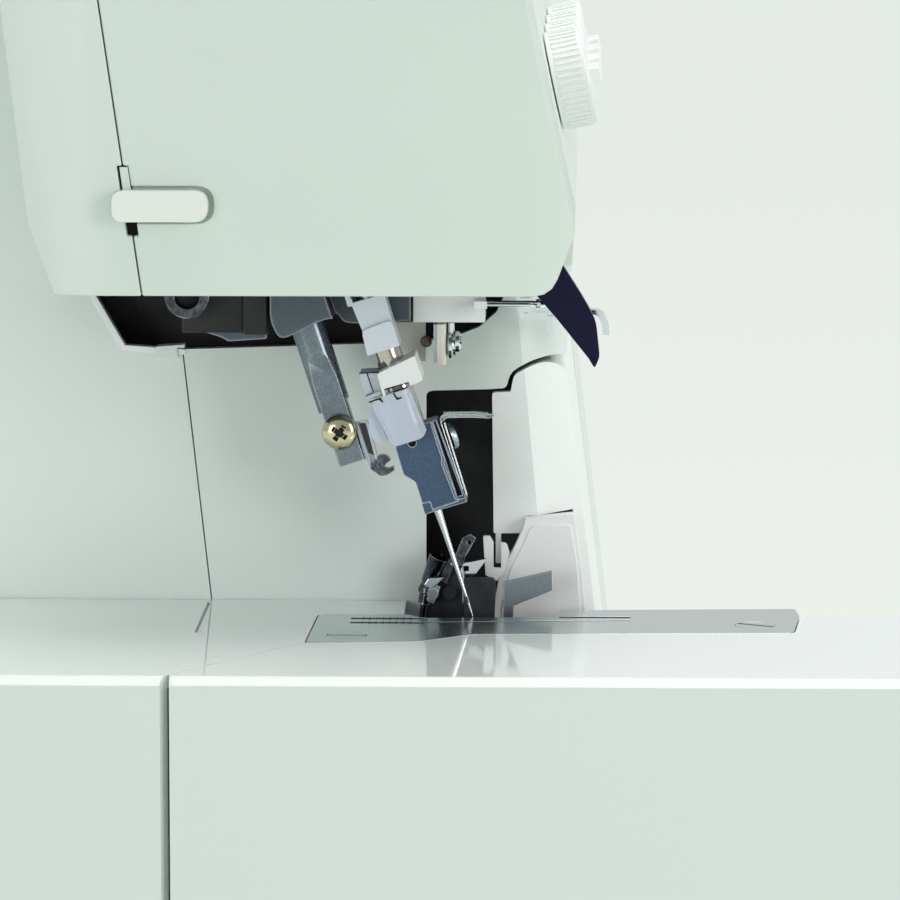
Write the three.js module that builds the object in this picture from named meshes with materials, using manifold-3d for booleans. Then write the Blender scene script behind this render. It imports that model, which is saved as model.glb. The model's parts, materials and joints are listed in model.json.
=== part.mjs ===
// Serger overlock machine: cast frame, sewing head, loopers, drive and moulded covers.
// Millimetres, +Z up. X runs to the operator's right and Y to the back.
// Everything is built around the needle point: x and y from the needle, z from the bed's top.
// The last lines move the whole machine so that the middle of its footprint is the origin.

import * as THREE from "three";
import { mergeVertices } from "three/addons/utils/BufferGeometryUtils.js";
import Module from "manifold-3d";

const wasm = await Module();
wasm.setup();

// ---- Driving sizes -------------------------------------------------------------------------

const BED_HEIGHT = 112;        // table to bed surface
const BED_LEFT = -82;          // left edge of the bed, from the needle
const BED_SIDE = 4;            // right edge of the bed in front of the throat wall
const WALL_X = 24;             // throat wall, the left face of the main body
const BODY_RIGHT = 231;        // right face of the main body
const FRONT_Y = -133;          // front of the base
const REAR_Y = 132;            // back of the base
const PILLAR_REAR = 120;       // back of the upper body at bed level
const HEAD_LEFT = -48;         // left end of the sewing head
const HEAD_BOTTOM = 81;        // underside of the head, above the bed
const SHOULDER = 150;          // where the top cover starts
const TOP = 178;               // top of the top cover
const BASE_TOP = -82;          // top of the base pan
const FOOT_HEIGHT = 8;
const WALL = 3;                // moulded wall thickness
const GAP = 0.3;               // clearance between neighbours
const SEAM = 0.15;             // half of the gap at a cover's seam
const TILT = THREE.MathUtils.degToRad(18);   // lean of the needle and presser bars
const NEEDLE_BAR_R = 3.2;
const PRESSER_BAR_R = 4;
const PRESSER_BAR_Y = 15.5;    // behind the needle bar, square to its lean
const BORE = 0.35;             // clearance of a bar in its bore
const COVER_RIGHT = 150;       // right end of the looper cover
const STAND_DEPTH = 52;        // spool stand, behind the upper body
const WHEEL_R = 36;
const WHEEL_T = 15;            // handwheel thickness
const SHAFT = { y: 22, z: -42, r: 5 };

const WHEEL_OUTER = BODY_RIGHT + 2 + WHEEL_T;
const STAND_REAR = PILLAR_REAR + 4 + STAND_DEPTH;
const CENTRE_X = (BED_LEFT + WHEEL_OUTER) / 2;

// ---- Solids --------------------------------------------------------------------------------

function toSolid(geometry) {
  const bare = geometry.index ? geometry.toNonIndexed() : geometry.clone();
  bare.deleteAttribute("normal");
  bare.deleteAttribute("uv");
  const merged = mergeVertices(bare, 1e-4);
  const mesh = new wasm.Mesh({
    numProp: 3,
    vertProperties: new Float32Array(merged.attributes.position.array),
    triVerts: new Uint32Array(merged.index.array),
  });
  return new wasm.Manifold(mesh);
}

function toGeometry(solid) {
  const mesh = solid.getMesh();
  const geometry = new THREE.BufferGeometry();
  geometry.setAttribute("position", new THREE.BufferAttribute(mesh.vertProperties, 3));
  geometry.setIndex(new THREE.BufferAttribute(mesh.triVerts, 1));
  return geometry;
}

const join = (first, ...others) => toGeometry(others.reduce((a, b) => a.add(toSolid(b)), toSolid(first)));
const cut = (first, ...others) => toGeometry(others.reduce((a, b) => a.subtract(toSolid(b)),
  toSolid(first)));
const common = (first, second) => toGeometry(toSolid(first).intersect(toSolid(second)));

// An outline from points [u, v] or [u, v, r], where r rounds the corner.
function outline(points) {
  const shape = new THREE.Shape();
  const n = points.length;
  points.forEach(([u, v, r = 0], i) => {
    const here = new THREE.Vector2(u, v);
    if (r === 0) {
      if (i === 0) shape.moveTo(u, v);
      else shape.lineTo(u, v);
      return;
    }
    const before = new THREE.Vector2(...points[(i + n - 1) % n].slice(0, 2));
    const after = new THREE.Vector2(...points[(i + 1) % n].slice(0, 2));
    const round = Math.min(r, 0.48 * here.distanceTo(before), 0.48 * here.distanceTo(after));
    const start = here.clone().add(before.sub(here).setLength(round));
    const end = here.clone().add(after.sub(here).setLength(round));
    if (i === 0) shape.moveTo(start.x, start.y);
    else shape.lineTo(start.x, start.y);
    shape.quadraticCurveTo(u, v, end.x, end.y);
  });
  return shape;
}

function prism(points, depth, curveSegments = 3) {
  return new THREE.ExtrudeGeometry(outline(points), { depth, bevelEnabled: false, steps: 1,
    curveSegments });
}

const Y_Z_TO_X = new THREE.Matrix4().makeBasis(
  new THREE.Vector3(0, 1, 0), new THREE.Vector3(0, 0, 1), new THREE.Vector3(1, 0, 0));

// Prisms: alongX takes [y, z] points, alongY takes [x, z] points, alongZ takes [x, y] points.
function alongX(points, x0, x1, segments) {
  return prism(points, x1 - x0, segments).applyMatrix4(Y_Z_TO_X).translate(x0, 0, 0);
}

function alongY(points, y0, y1, segments) {
  return prism(points, y1 - y0, segments).rotateX(Math.PI / 2).translate(0, y1, 0);
}

function alongZ(points, z0, z1, segments) {
  return prism(points, z1 - z0, segments).translate(0, 0, z0);
}

function block(x0, x1, y0, y1, z0, z1) {
  return new THREE.BoxGeometry(x1 - x0, y1 - y0, z1 - z0)
    .translate((x0 + x1) / 2, (y0 + y1) / 2, (z0 + z1) / 2);
}

// Round bars along an axis, given by their two ends on it and the place of the axis.
function rodX(r, x0, x1, y, z, sides = 20) {
  return new THREE.CylinderGeometry(r, r, x1 - x0, sides).rotateZ(Math.PI / 2).translate((x0 + x1) / 2, y,
    z);
}

function rodY(r, y0, y1, x, z, sides = 20) {
  return new THREE.CylinderGeometry(r, r, y1 - y0, sides).translate(x, (y0 + y1) / 2, z);
}

function rodZ(r, z0, z1, x, y, sides = 20) {
  return new THREE.CylinderGeometry(r, r, z1 - z0, sides).rotateX(Math.PI / 2).translate(x, y,
    (z0 + z1) / 2);
}

// Half-plane cutters in the Y-Z plane: everything behind or in front of a leaning line.
const FAR = 400;

function behind(yAtBed, slope, x0, x1) {
  return alongX([[yAtBed - slope * FAR, -FAR], [FAR, -FAR], [FAR, FAR], [yAtBed + slope * FAR, FAR]], x0,
    x1);
}

function ahead(yAtBed, slope, x0, x1) {
  return alongX([[-FAR, -FAR], [yAtBed - slope * FAR, -FAR], [yAtBed + slope * FAR, FAR], [-FAR, FAR]], x0,
    x1);
}

// ---- Scene ---------------------------------------------------------------------------------

const machine = new THREE.Group();
const tilted = new THREE.Group();
tilted.rotation.x = -TILT;
machine.add(tilted);

const LOOK = {
  cover: ["#cfdbd3", 0.35, 0.0],
  coverLight: ["#dde6e0", 0.35, 0.0],
  white: ["#eef2ee", 0.4, 0.0],
  clear: ["#d6e0ea", 0.25, 0.0],
  black: ["#15171b", 0.5, 0.0],
  navy: ["#15152b", 0.2, 0.0],
  rubber: ["#22242a", 0.8, 0.0],
  cast: ["#7f8c98", 0.6, 0.7],
  zinc: ["#93a5bd", 0.5, 0.8],
  steel: ["#a9b6c0", 0.35, 0.9],
  chrome: ["#d5dce2", 0.12, 1.0],
  brass: ["#bdb691", 0.25, 0.9],
  grey: ["#5c6670", 0.5, 0.1],
};

function add(name, geometry, look, parent = machine) {
  const [color, roughness, metalness] = LOOK[look];
  const mesh = new THREE.Mesh(geometry, new THREE.MeshStandardMaterial({ color, roughness, metalness }));
  mesh.name = name;
  parent.add(mesh);
  return mesh;
}

// A cutter made in the leaning frame, for a piece that is made upright.
const lean = (geometry) => geometry.rotateX(-TILT);

// ---- Base ----------------------------------------------------------------------------------

const FLOOR = -BED_HEIGHT + FOOT_HEIGHT;

function basePan() {
  const inset = 2;
  const left = BED_LEFT + inset;
  const right = BODY_RIGHT - inset;
  const front = FRONT_Y + inset;
  const rear = REAR_Y - inset;
  const corner = 10;
  const tray = alongZ([[left, front, corner], [right, front, corner], [right, rear, corner],
    [left, rear, corner]],
    FLOOR, BASE_TOP);
  const hollow = block(left + WALL, right - WALL, front + WALL, rear - WALL, FLOOR + WALL, BASE_TOP + 1);
  add("base_pan", cut(tray, hollow), "coverLight");
}

function feet() {
  const inset = 26;
  const radius = 12;
  let number = 1;
  for (const x of [BED_LEFT + inset, BODY_RIGHT - inset]) {
    for (const y of [FRONT_Y + inset, REAR_Y - inset]) {
      const foot = new THREE.CylinderGeometry(radius, radius - 1.5, FOOT_HEIGHT - GAP, 20);
      foot.rotateX(Math.PI / 2).translate(x, y, -BED_HEIGHT + (FOOT_HEIGHT - GAP) / 2);
      add(`rubber_foot_${number}`, foot, "rubber");
      number += 1;
    }
  }
}

// ---- Main body -----------------------------------------------------------------------------

// Side profile of the body right of the throat wall: the deck in front, the leaning face above.
const FACE_FOOT = [-32.9, -40];
const FACE_LIP = [-21.6, 57];
const FACE_KNEE = [-23.8, 94.8];
const FACE_TOP = [-12, SHOULDER];
const DECK_EDGE = -56;          // height of the deck's front edge
const DECK = [[FRONT_Y, BASE_TOP + GAP], [FRONT_Y + 1, DECK_EDGE], [FRONT_Y + 11, DECK_EDGE + 10]];
const REAR_LEDGE = [[PILLAR_REAR, -8], [REAR_Y, -20]];

function bodyProfile(s) {
  return [
    ...[...DECK, FACE_FOOT].map(([y, z]) => [y + s, z - s]),
    [FACE_LIP[0] + s, FACE_LIP[1]], [FACE_KNEE[0] + s, FACE_KNEE[1]], [FACE_TOP[0] + s, FACE_TOP[1] + s],
    [PILLAR_REAR + 6 - s, SHOULDER + s], ...REAR_LEDGE.map(([y, z]) => [y - s, z - s]),
    [REAR_Y - s, BASE_TOP + GAP - s],
  ];
}

// The body's front left corner is cut to a leaning facet between the bed and the head.
const FACET = { y: -16.6, slope: 0.093, reach: 60 };

function cornerWedge(inward) {
  const x0 = WALL_X - 1;
  const start = FACET.y + 1 + inward * Math.SQRT2;
  const wedge = alongZ([[x0, start], [x0, start - FACET.reach], [x0 + FACET.reach, start - FACET.reach]],
    FACE_FOOT[1] - inward, HEAD_BOTTOM - GAP);
  return wedge.applyMatrix4(new THREE.Matrix4().makeShear(0, 0, 0, 0, 0, FACET.slope));
}

// The deck runs on to the left, below the bed, as far as the bed's side.
function sideDeck() {
  const rear = PIT.y0 - 4;
  const profile = (s) => [...[...DECK, FACE_FOOT].map(([y, z]) => [y + s, z - s]),
    [rear - s, FACE_FOOT[1] - s],
    [rear - s, BASE_TOP + GAP - s]];
  const outer = alongX(profile(0), BED_SIDE + 2 * GAP, WALL_X + 1);
  return cut(outer, alongX(profile(WALL), BED_SIDE + 2 * GAP + WALL, WALL_X + 2));
}

function bodyShell() {
  const outer = cut(alongX(bodyProfile(0), WALL_X, BODY_RIGHT), cornerWedge(0));
  const inner = cut(alongX(bodyProfile(WALL), WALL_X + WALL, BODY_RIGHT - WALL), cornerWedge(WALL));
  return cut(outer, inner);
}

// Window in the throat wall, above which the head opens into the body.
const WINDOW = [[-9, 78], [-5, 69.5], [-1, 66], [5, 63.6], [14, 62.3], [69, 60.4], [83.5, 61.4], [90.2, 73],
  [93.5, 81], [97, 95], [100, SHOULDER + 1], [-9, SHOULDER + 1], [-20, 95], [-15.5, HEAD_BOTTOM]];

// Side outline of the looper cover, and the opening in the body that it closes.
const OPENING_REAR = 11.7;
const COVER_FOOT = FACE_FOOT[1] + 2 * GAP;
const COVER_OUTLINE = [
  [FACE_FOOT[0] + 0.1, COVER_FOOT], [-21.6, 55.2, 2.5], [-17, 57.2, 2], [-12.8, 56.4, 2], [-9.2, 54.4, 1],
  [-8.4, 50.4], [-4, 50.2, 0.8], [-4.4, 16.4], [-4.9, 16.2], [-4.9, 9],
  [-6.2, 9], [-6.2, 16.2], [-11.5, 16.3], [-13.2, 18.5], [-12.3, 20.5], [-23.3, 20.9], [-29.6, COVER_FOOT],
];
const BODY_OPENING = [
  [OPENING_REAR, -60], [OPENING_REAR, 50.6, 1.6], [-3, 51, 0.6], [-7.4, 51.3, 1], [-8.4, 55.2, 2],
    [-12.6, 57.5, 2],
  [-17.4, 58.5, 2], [-60, 58.5], [-60, FACE_FOOT[1] + GAP], [-31.5, FACE_FOOT[1] + GAP], [-31.5, -60],
];
const SEAM_SLOPE = 0.109;
const SEAM_Y = 63.2;

function frontCasing() {
  const front = common(bodyShell(), ahead(SEAM_Y - SEAM, SEAM_SLOPE, WALL_X - 1, BODY_RIGHT + 1));
  const window = alongX(WINDOW, WALL_X - 1, WALL_X + WALL + 1);
  const opening = alongX(BODY_OPENING, WALL_X - 1, COVER_RIGHT + SEAM);
  const shaft = rodX(SHAFT.r + 1.2, BODY_RIGHT - WALL - 1, BODY_RIGHT + 1, SHAFT.y, SHAFT.z);
  add("front_casing", join(cut(front, window, opening, shaft, ...frontHoles()), sideDeck()), "cover");
}

function rearCasing() {
  const rear = common(bodyShell(), behind(SEAM_Y + SEAM, SEAM_SLOPE, WALL_X - 1, BODY_RIGHT + 1));
  const window = alongX(WINDOW, WALL_X - 1, WALL_X + WALL + 1);
  const lug = alongX([[76, 58.6], [76, 61.2], [69.2, 61.7], [69.2, 60.9], [71, 60.9], [70.8, 58.4]],
    WALL_X - 1.4, WALL_X + WALL);
  const notch = alongX([[64, 31.5], [66.4, 31.5], [67, 36.5], [65, 36.5]], WALL_X - 1, WALL_X + 1);
  const body = join(cut(rear, window, notch, ...rearHoles()), lug);
  add("rear_casing", body, "cover");
}

// ---- Controls ------------------------------------------------------------------------------

const TENSION = { count: 4, first: 58, pitch: 36, z: 122, r: 12, stem: 3 };
const FACE_LEAN = Math.atan2(FACE_TOP[0] - FACE_KNEE[0], FACE_TOP[1] - FACE_KNEE[1]);
const faceYAt = (z) => FACE_KNEE[0] + (z - FACE_KNEE[1]) * Math.tan(FACE_LEAN);
const STITCH_DIALS = [{ name: "stitch_length_dial", x: BODY_RIGHT - 59 },
  { name: "differential_feed_dial", x: BODY_RIGHT - 24 }];
const STITCH_Z = -69;
const STITCH_R = 10;
const STITCH_DEPTH = 6;
const GRIP = 3;                // ridge on a dial's face
const DIAL_SEAT = 0.9;
const deckFrontAt = (z) => FRONT_Y + (z - BASE_TOP) / (DECK_EDGE - BASE_TOP);
const SWITCH = { y: 92, z: -52, high: 22, wide: 14 };
const INLET = { y: 114, z: -52, high: 26, wide: 20 };
const LIFTER = { x: 44, z: 118, wide: 7 };

function tensionPlaces() {
  return Array.from({ length: TENSION.count }, (_, i) => TENSION.first + i * TENSION.pitch);
}

// A dial with a stem behind it. Its axis is Y, its front faces -Y, and its back is at y = 0.
function dial(radius, depth, stemRadius, stemLength) {
  const knob = rodY(radius, -depth, -GAP, 0, 0, 20);
  const grip = block(3 - radius, radius - 3, -depth - GRIP, -depth + 1, -1.8, 1.8);
  const stem = rodY(stemRadius, -GAP - 1, stemLength, 0, 0, 12);
  return join(knob, grip, stem);
}

function frontHoles() {
  const holes = tensionPlaces().map((x) => rodY(TENSION.stem + BORE, -8, 12, 0, 0, 12)
    .rotateX(-FACE_LEAN).translate(x, faceYAt(TENSION.z), TENSION.z));
  for (const { x } of STITCH_DIALS) {
    holes.push(rodY(TENSION.stem + BORE, FRONT_Y - 2, FRONT_Y + WALL + 6, x, STITCH_Z, 12));
  }
  return holes;
}

function rearHoles() {
  const side = block(BODY_RIGHT - WALL - 1, BODY_RIGHT + 1, SWITCH.y - SWITCH.wide / 2,
    SWITCH.y + SWITCH.wide / 2,
    SWITCH.z - SWITCH.high / 2, SWITCH.z + SWITCH.high / 2);
  const inlet = block(BODY_RIGHT - WALL - 1, BODY_RIGHT + 1, INLET.y - INLET.wide / 2,
    INLET.y + INLET.wide / 2,
    INLET.z - INLET.high / 2, INLET.z + INLET.high / 2);
  const slot = block(LIFTER.x - LIFTER.wide / 2 - 1, LIFTER.x + LIFTER.wide / 2 + 1, PILLAR_REAR - 8,
    PILLAR_REAR + 12,
    LIFTER.z - 16, LIFTER.z + 16);
  return [side, inlet, slot];
}

function dials() {
  tensionPlaces().forEach((x, i) => {
    const mesh = add(`tension_dial_${i + 1}`, dial(TENSION.r, 9, TENSION.stem, WALL + 4), "white");
    mesh.rotation.x = -FACE_LEAN;
    mesh.position.set(x, faceYAt(TENSION.z), TENSION.z);
  });
  for (const { name, x } of STITCH_DIALS) {
    const mesh = add(name, dial(STITCH_R, STITCH_DEPTH, TENSION.stem, WALL + 4), "grey");
    mesh.position.set(x, deckFrontAt(STITCH_Z) - DIAL_SEAT, STITCH_Z);
  }
}

const PRESSURE = { x: -4, y: 62, r: 11 };

function pressureDial() {
  const knob = rodZ(PRESSURE.r, TOP + GAP, TOP + 8, PRESSURE.x, PRESSURE.y, 24);
  const stem = rodZ(4, TOP - WALL - 6, TOP + 1, PRESSURE.x, PRESSURE.y, 12);
  add("presser_pressure_dial", join(knob, stem), "white");
}

function powerSwitch() {
  const half = SWITCH.high / 2 - 0.8;
  const rocker = alongY([[BODY_RIGHT - 6, -half], [BODY_RIGHT + 1.4, -half], [BODY_RIGHT - 0.2, 0],
    [BODY_RIGHT + 1.4, half], [BODY_RIGHT - 6, half]], SWITCH.y - SWITCH.wide / 2 + 0.6,
    SWITCH.y + SWITCH.wide / 2 - 0.6);
  add("power_switch", rocker.translate(0, 0, SWITCH.z), "black");
}

function inletSocket() {
  const y0 = INLET.y - INLET.wide / 2 + GAP;
  const y1 = INLET.y + INLET.wide / 2 - GAP;
  const z0 = INLET.z - INLET.high / 2 + GAP;
  const z1 = INLET.z + INLET.high / 2 - GAP;
  const shell = block(BODY_RIGHT - 20, BODY_RIGHT + 0.6, y0, y1, z0, z1);
  const well = block(BODY_RIGHT - 16, BODY_RIGHT + 2, y0 + 2.5, y1 - 2.5, z0 + 2.5, z1 - 2.5);
  const pins = [-5, 0, 5].map((dz) => rodX(1.2, BODY_RIGHT - 17, BODY_RIGHT - 5, INLET.y, INLET.z + dz, 8));
  add("inlet_socket", join(cut(shell, well), ...pins), "black");
}

function presserLifter() {
  const pad = alongX([[PILLAR_REAR - 16, LIFTER.z + 2, 2], [PILLAR_REAR - 16, LIFTER.z - 6, 2],
    [PILLAR_REAR + 6, LIFTER.z - 10, 2], [PILLAR_REAR + 36, LIFTER.z - 14, 2],
      [PILLAR_REAR + 37, LIFTER.z - 9, 2],
    [PILLAR_REAR + 8, LIFTER.z - 2, 2]], LIFTER.x - LIFTER.wide / 2, LIFTER.x + LIFTER.wide / 2);
  add("presser_lifter", pad, "white");
}

// ---- Head and top --------------------------------------------------------------------------

const HEAD_SEAM_SLOPE = 0.1416;
const HEAD_SEAM_Y = 62.2;
const headSeamAt = (z) => HEAD_SEAM_Y + HEAD_SEAM_SLOPE * z;
const HEAD_REAR_TOP = 106.3;

function headProfile(s) {
  return [[-18.5 + s, HEAD_BOTTOM, 4], [FACE_KNEE[0] + s, FACE_KNEE[1]], [FACE_TOP[0] + s, FACE_TOP[1]],
    [HEAD_REAR_TOP - s, SHOULDER], [99.8 - s, 97], [93.7 - s, HEAD_BOTTOM]];
}

function headInner() {
  const s = WALL;
  return [[-18.5 + s, HEAD_BOTTOM - 1], [FACE_KNEE[0] + s, FACE_KNEE[1]], [FACE_TOP[0] + s, SHOULDER + 1],
    [HEAD_REAR_TOP - s, SHOULDER + 1], [99.8 - s, 97], [93.2 - s, HEAD_BOTTOM - 1]];
}

// The left end of the head has a soft facet at the back and a small one in front.
function headPlan(s) {
  return [[WALL_X + 10, -40], [HEAD_LEFT + 7 + s, -40], [HEAD_LEFT + s, -12], [HEAD_LEFT + s, 87 - s],
    [HEAD_LEFT + 10 + s, 120], [WALL_X + 10, 120]];
}

function headShell() {
  const right = WALL_X - GAP;
  const outer = common(alongX(headProfile(0), HEAD_LEFT, right), alongZ(headPlan(0), HEAD_BOTTOM - 2,
    SHOULDER + 2));
  const inner = common(alongX(headInner(), HEAD_LEFT + WALL, right + 1),
    alongZ(headPlan(WALL), HEAD_BOTTOM - 3, SHOULDER + 3));
  return cut(outer, inner);
}

const PILL = { y0: 58.4, y1: 80, z: 101.6, r: 3.5, out: 4.2 };
const LEVER_SLOT = { z0: 94.6, z1: 110.4, wide: 2.6 };

function leverSlot() {
  const at = (z) => headSeamAt(z);
  const h = LEVER_SLOT.wide / 2;
  return alongX([[at(LEVER_SLOT.z0) - h, LEVER_SLOT.z0], [at(LEVER_SLOT.z0) + h, LEVER_SLOT.z0],
    [at(LEVER_SLOT.z1) + h, LEVER_SLOT.z1], [at(LEVER_SLOT.z1) - h, LEVER_SLOT.z1]], HEAD_LEFT - 1,
    HEAD_LEFT + WALL + 1);
}

function faceCover() {
  const front = common(headShell(), ahead(HEAD_SEAM_Y - SEAM, HEAD_SEAM_SLOPE, HEAD_LEFT - 1, WALL_X + 1));
  const pocketR = PILL.r + 0.6;
  const pocket = alongX([[PILL.y0 - 1, PILL.z - pocketR, pocketR - 0.2], [84, PILL.z - pocketR],
    [84, PILL.z + pocketR], [PILL.y0 - 1, PILL.z + pocketR, pocketR - 0.2]], HEAD_LEFT - 1,
      HEAD_LEFT + 1.5, 5);
  const takeUpSlot = alongX([[-30, HEAD_BOTTOM - 2], [-2, HEAD_BOTTOM - 2], [-2, 128], [-30, 128]],
    TAKE_UP.x - 1.5, TAKE_UP.x + TAKE_UP.thick + 1.5);
  add("face_cover", cut(front, pocket, leverSlot(), takeUpSlot), "coverLight");
}

function headRearCover() {
  const rear = common(headShell(), behind(HEAD_SEAM_Y + SEAM, HEAD_SEAM_SLOPE, HEAD_LEFT - 1, WALL_X + 1));
  add("head_rear_cover", cut(rear, leverSlot()), "coverLight");
}

const HANDLE = { x0: 62, x1: 178, y0: 34, y1: 74, deep: 13, bar: 9 };

function topProfile(s) {
  return [[FACE_TOP[0] + s, SHOULDER + GAP - s], [FACE_TOP[0] + 4 + s, TOP - 10 - s, 3],
    [FACE_TOP[0] + 16 + s, TOP - s, 6],
    [PILLAR_REAR - 10 - s, TOP - s, 6], [PILLAR_REAR + 6 - s, TOP - 12 - s, 3],
      [PILLAR_REAR + 6 - s, SHOULDER + GAP - s]];
}

// The top cover is narrower over the head, whose back is further forward than the body's.
function topPlan(s) {
  return [[HEAD_LEFT + 6 + s, -40], [HEAD_LEFT + s, 0], [HEAD_LEFT + s, 90 - s],
    [HEAD_LEFT + 8 + s, HEAD_REAR_TOP - s],
    [WALL_X - 8 + s, HEAD_REAR_TOP + 1 - s], [WALL_X + 6 + s, 150], [BODY_RIGHT - s, 150],
      [BODY_RIGHT - s, -40]];
}

function topCover() {
  const ends = (s) => [[HEAD_LEFT + s, SHOULDER - 1 - s], [BODY_RIGHT - s, SHOULDER - 1 - s],
    [BODY_RIGHT - s, TOP - 12, 3], [BODY_RIGHT - 12 - s, TOP + 1 - s, 6], [HEAD_LEFT + 12 + s, TOP + 1 - s,
      6],
    [HEAD_LEFT + s, TOP - 12, 3]];
  const body = (s) => common(common(alongX(topProfile(s), HEAD_LEFT + s, BODY_RIGHT - s),
    alongZ(topPlan(s), SHOULDER - 5, TOP + 1)), alongY(ends(s), -40, 150));
  const tub = block(HANDLE.x0 - 6, HANDLE.x1 + 6, HANDLE.y0 - 4, HANDLE.y1 + 10, TOP - HANDLE.deep - WALL,
    TOP - 1);
  const recess = block(HANDLE.x0 - 3, HANDLE.x1 + 3, HANDLE.y0 - 1, HANDLE.y1 + 7, TOP - HANDLE.deep,
    TOP + 1);
  const stemHole = rodZ(4 + BORE, TOP - WALL - 4, TOP + 1, PRESSURE.x, PRESSURE.y, 12);
  add("arm_top_cover", cut(join(cut(body(0), body(WALL)), tub), recess, stemHole), "cover");
}

function carryHandle() {
  const z0 = TOP - HANDLE.bar;
  const { x0, x1, y0, y1, bar } = HANDLE;
  const frame = alongZ([[x0, y1 + 4, 3], [x0, y0, 8], [x1, y0, 8], [x1, y1 + 4, 3]], z0, TOP - 1);
  const grip = alongZ([[x0 + bar, y1 + 6], [x0 + bar, y0 + 14, 5], [x1 - bar, y0 + 14, 5],
    [x1 - bar, y1 + 6]],
    z0 - 1, TOP);
  add("carry_handle", cut(frame, grip), "cover");
}

// ---- Bed -----------------------------------------------------------------------------------

// Needle plate outline in plan: square at the back, stepped on its left, slanted in front.
const PLATE_THICK = 2.4;
const PLATE = [[-36.4, 37.6, 1.2], [-34, 12, 1.5], [-23.5, -1, 3], [-20.6, -74.6, 2.5], [3.6, -76.9, 2.5],
  [13.6, -76.2, 1], [10.4, -20.2, 0.5], [0.4, -20.2, 0.4], [-1.3, 11.8, 1], [4, 15.8, 1], [2.7, 36.4, 1.2]];
const PLATE_FRONT = -77;
const PLATE_SCREWS = [[-25.8, 28.6], [-9.6, -66]];
const PLATE_SCREW_R = 4.6;
const MAIN_ROWS = [-8.4, -2.5];       // middles of the main feed dog's rows of teeth
const MAIN_SLOT = { y0: 11.2, y1: 28.6 };
const FRONT_ROW = 0.3;               // middle of the differential feed dog's row
const FRONT_SLOT = { y0: -37, y1: -20 };
const ROW_WIDTH = 1.4;
const SLOT_WIDTH = ROW_WIDTH + 0.8;
const PIT = { x0: -3, y0: -20.6, y1: 16.4 };
const DOOR_GAP_Y = 66.4;

function grow(points, by) {
  const cx = -12;
  const cy = -20;
  return points.map(([x, y, r = 0]) => [x + Math.sign(x - cx) * by, y + Math.sign(y - cy) * by, r]);
}

function bedShell() {
  const right = WALL_X - GAP;
  const corner = 7;
  const outer = alongZ([[BED_LEFT, FRONT_Y, corner], [right, FRONT_Y], [right, REAR_Y],
    [BED_LEFT, REAR_Y, corner]],
    BASE_TOP + GAP, 0);
  const rim = 2;
  const chamfer = cut(block(BED_LEFT - 1, BED_LEFT + rim, FRONT_Y - 1, REAR_Y + 1, -rim, 1),
    alongY([[BED_LEFT - 3, -rim - 3], [BED_LEFT, -rim - 3], [BED_LEFT, -rim], [BED_LEFT + rim, 0],
      [BED_LEFT + rim + 2, 0], [BED_LEFT + rim + 2, -9]], FRONT_Y - 2, REAR_Y + 2));
  const inner = block(BED_LEFT + WALL, right + 1, FRONT_Y + WALL, REAR_Y - WALL, BASE_TOP - 1, -WALL);
  return cut(outer, chamfer, inner);
}

// The plan of the fixed rear part of the bed, grown by a margin towards the hinged front part.
function rearBedPlan(margin) {
  const m = margin;
  return [[BED_LEFT - 2, REAR_Y + 1], [BED_LEFT - 2, DOOR_GAP_Y + 1.6 - m],
    [BED_LEFT + 1, DOOR_GAP_Y + 1 - m],
    [-36.6, 38.4 - m], [-36.6, 30 - m], [-20, 20 - m], [2, 20 - m], [4, PIT.y1 - m],
      [WALL_X + 1, PIT.y1 - m],
    [WALL_X + 1, REAR_Y + 1]];
}

function plateWell() {
  return alongZ(grow(PLATE, GAP), -WALL - 1, 1);
}

function bedCover() {
  const rear = common(bedShell(), alongZ(rearBedPlan(0), BASE_TOP - 1, 1));
  const slit = alongZ([[-23, 64], [-23, 63.4], [20, 63.1], [20, 63.9]], -0.8, 1);
  add("bed_cover", cut(rear, plateWell(), slit), "cover");
}

function clothPlateDoor() {
  const front = cut(bedShell(), alongZ(rearBedPlan(SEAM), BASE_TOP - 2, 2));
  const pit = block(PIT.x0, WALL_X + 1, PIT.y0, PIT.y1 + 1, -WALL - 1, 1);
  const side = block(BED_SIDE, WALL_X + 1, FRONT_Y - 1, PIT.y0 + 1, BASE_TOP - 1, 1);
  const hingeGap = block(BED_LEFT - 1, BED_LEFT + WALL, DOOR_GAP_Y - 0.8, DOOR_GAP_Y + 3, BASE_TOP - 1, 1);
  const rightWall = block(BED_SIDE - WALL, BED_SIDE, FRONT_Y + 1, PLATE_FRONT - 1, BASE_TOP + GAP, -1);
  add("cloth_plate_door", join(cut(front, plateWell(), pit, side, hingeGap), rightWall), "cover");
}

const feedSlot = (x, { y0, y1 }, deep) =>
  block(x - SLOT_WIDTH / 2, x + SLOT_WIDTH / 2, y0, y1, -deep, 1);

function needlePlate() {
  const plate = alongZ(PLATE, -PLATE_THICK, 0);
  const deep = PLATE_THICK + 1;
  const slots = MAIN_ROWS.map((x) => feedSlot(x, MAIN_SLOT, deep));
  const frontSlot = feedSlot(FRONT_ROW, FRONT_SLOT, deep);
  const guideSlot = alongZ([[-8.2, MAIN_SLOT.y0 + 1], [-7, MAIN_SLOT.y0 + 1], [-3.2, FRONT_SLOT.y0],
    [-4.4, FRONT_SLOT.y0]], -0.8, 1);
  const screws = PLATE_SCREWS.map(([x, y]) => rodZ(PLATE_SCREW_R + GAP / 2, -1.3, 1, x, y));
  const holes = PLATE_SCREWS.map(([x, y]) => rodZ(2.2 + GAP, -deep, 1, x, y, 12));
  add("needle_plate", cut(plate, ...slots, frontSlot, guideSlot, ...screws, ...holes), "steel");
}

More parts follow.
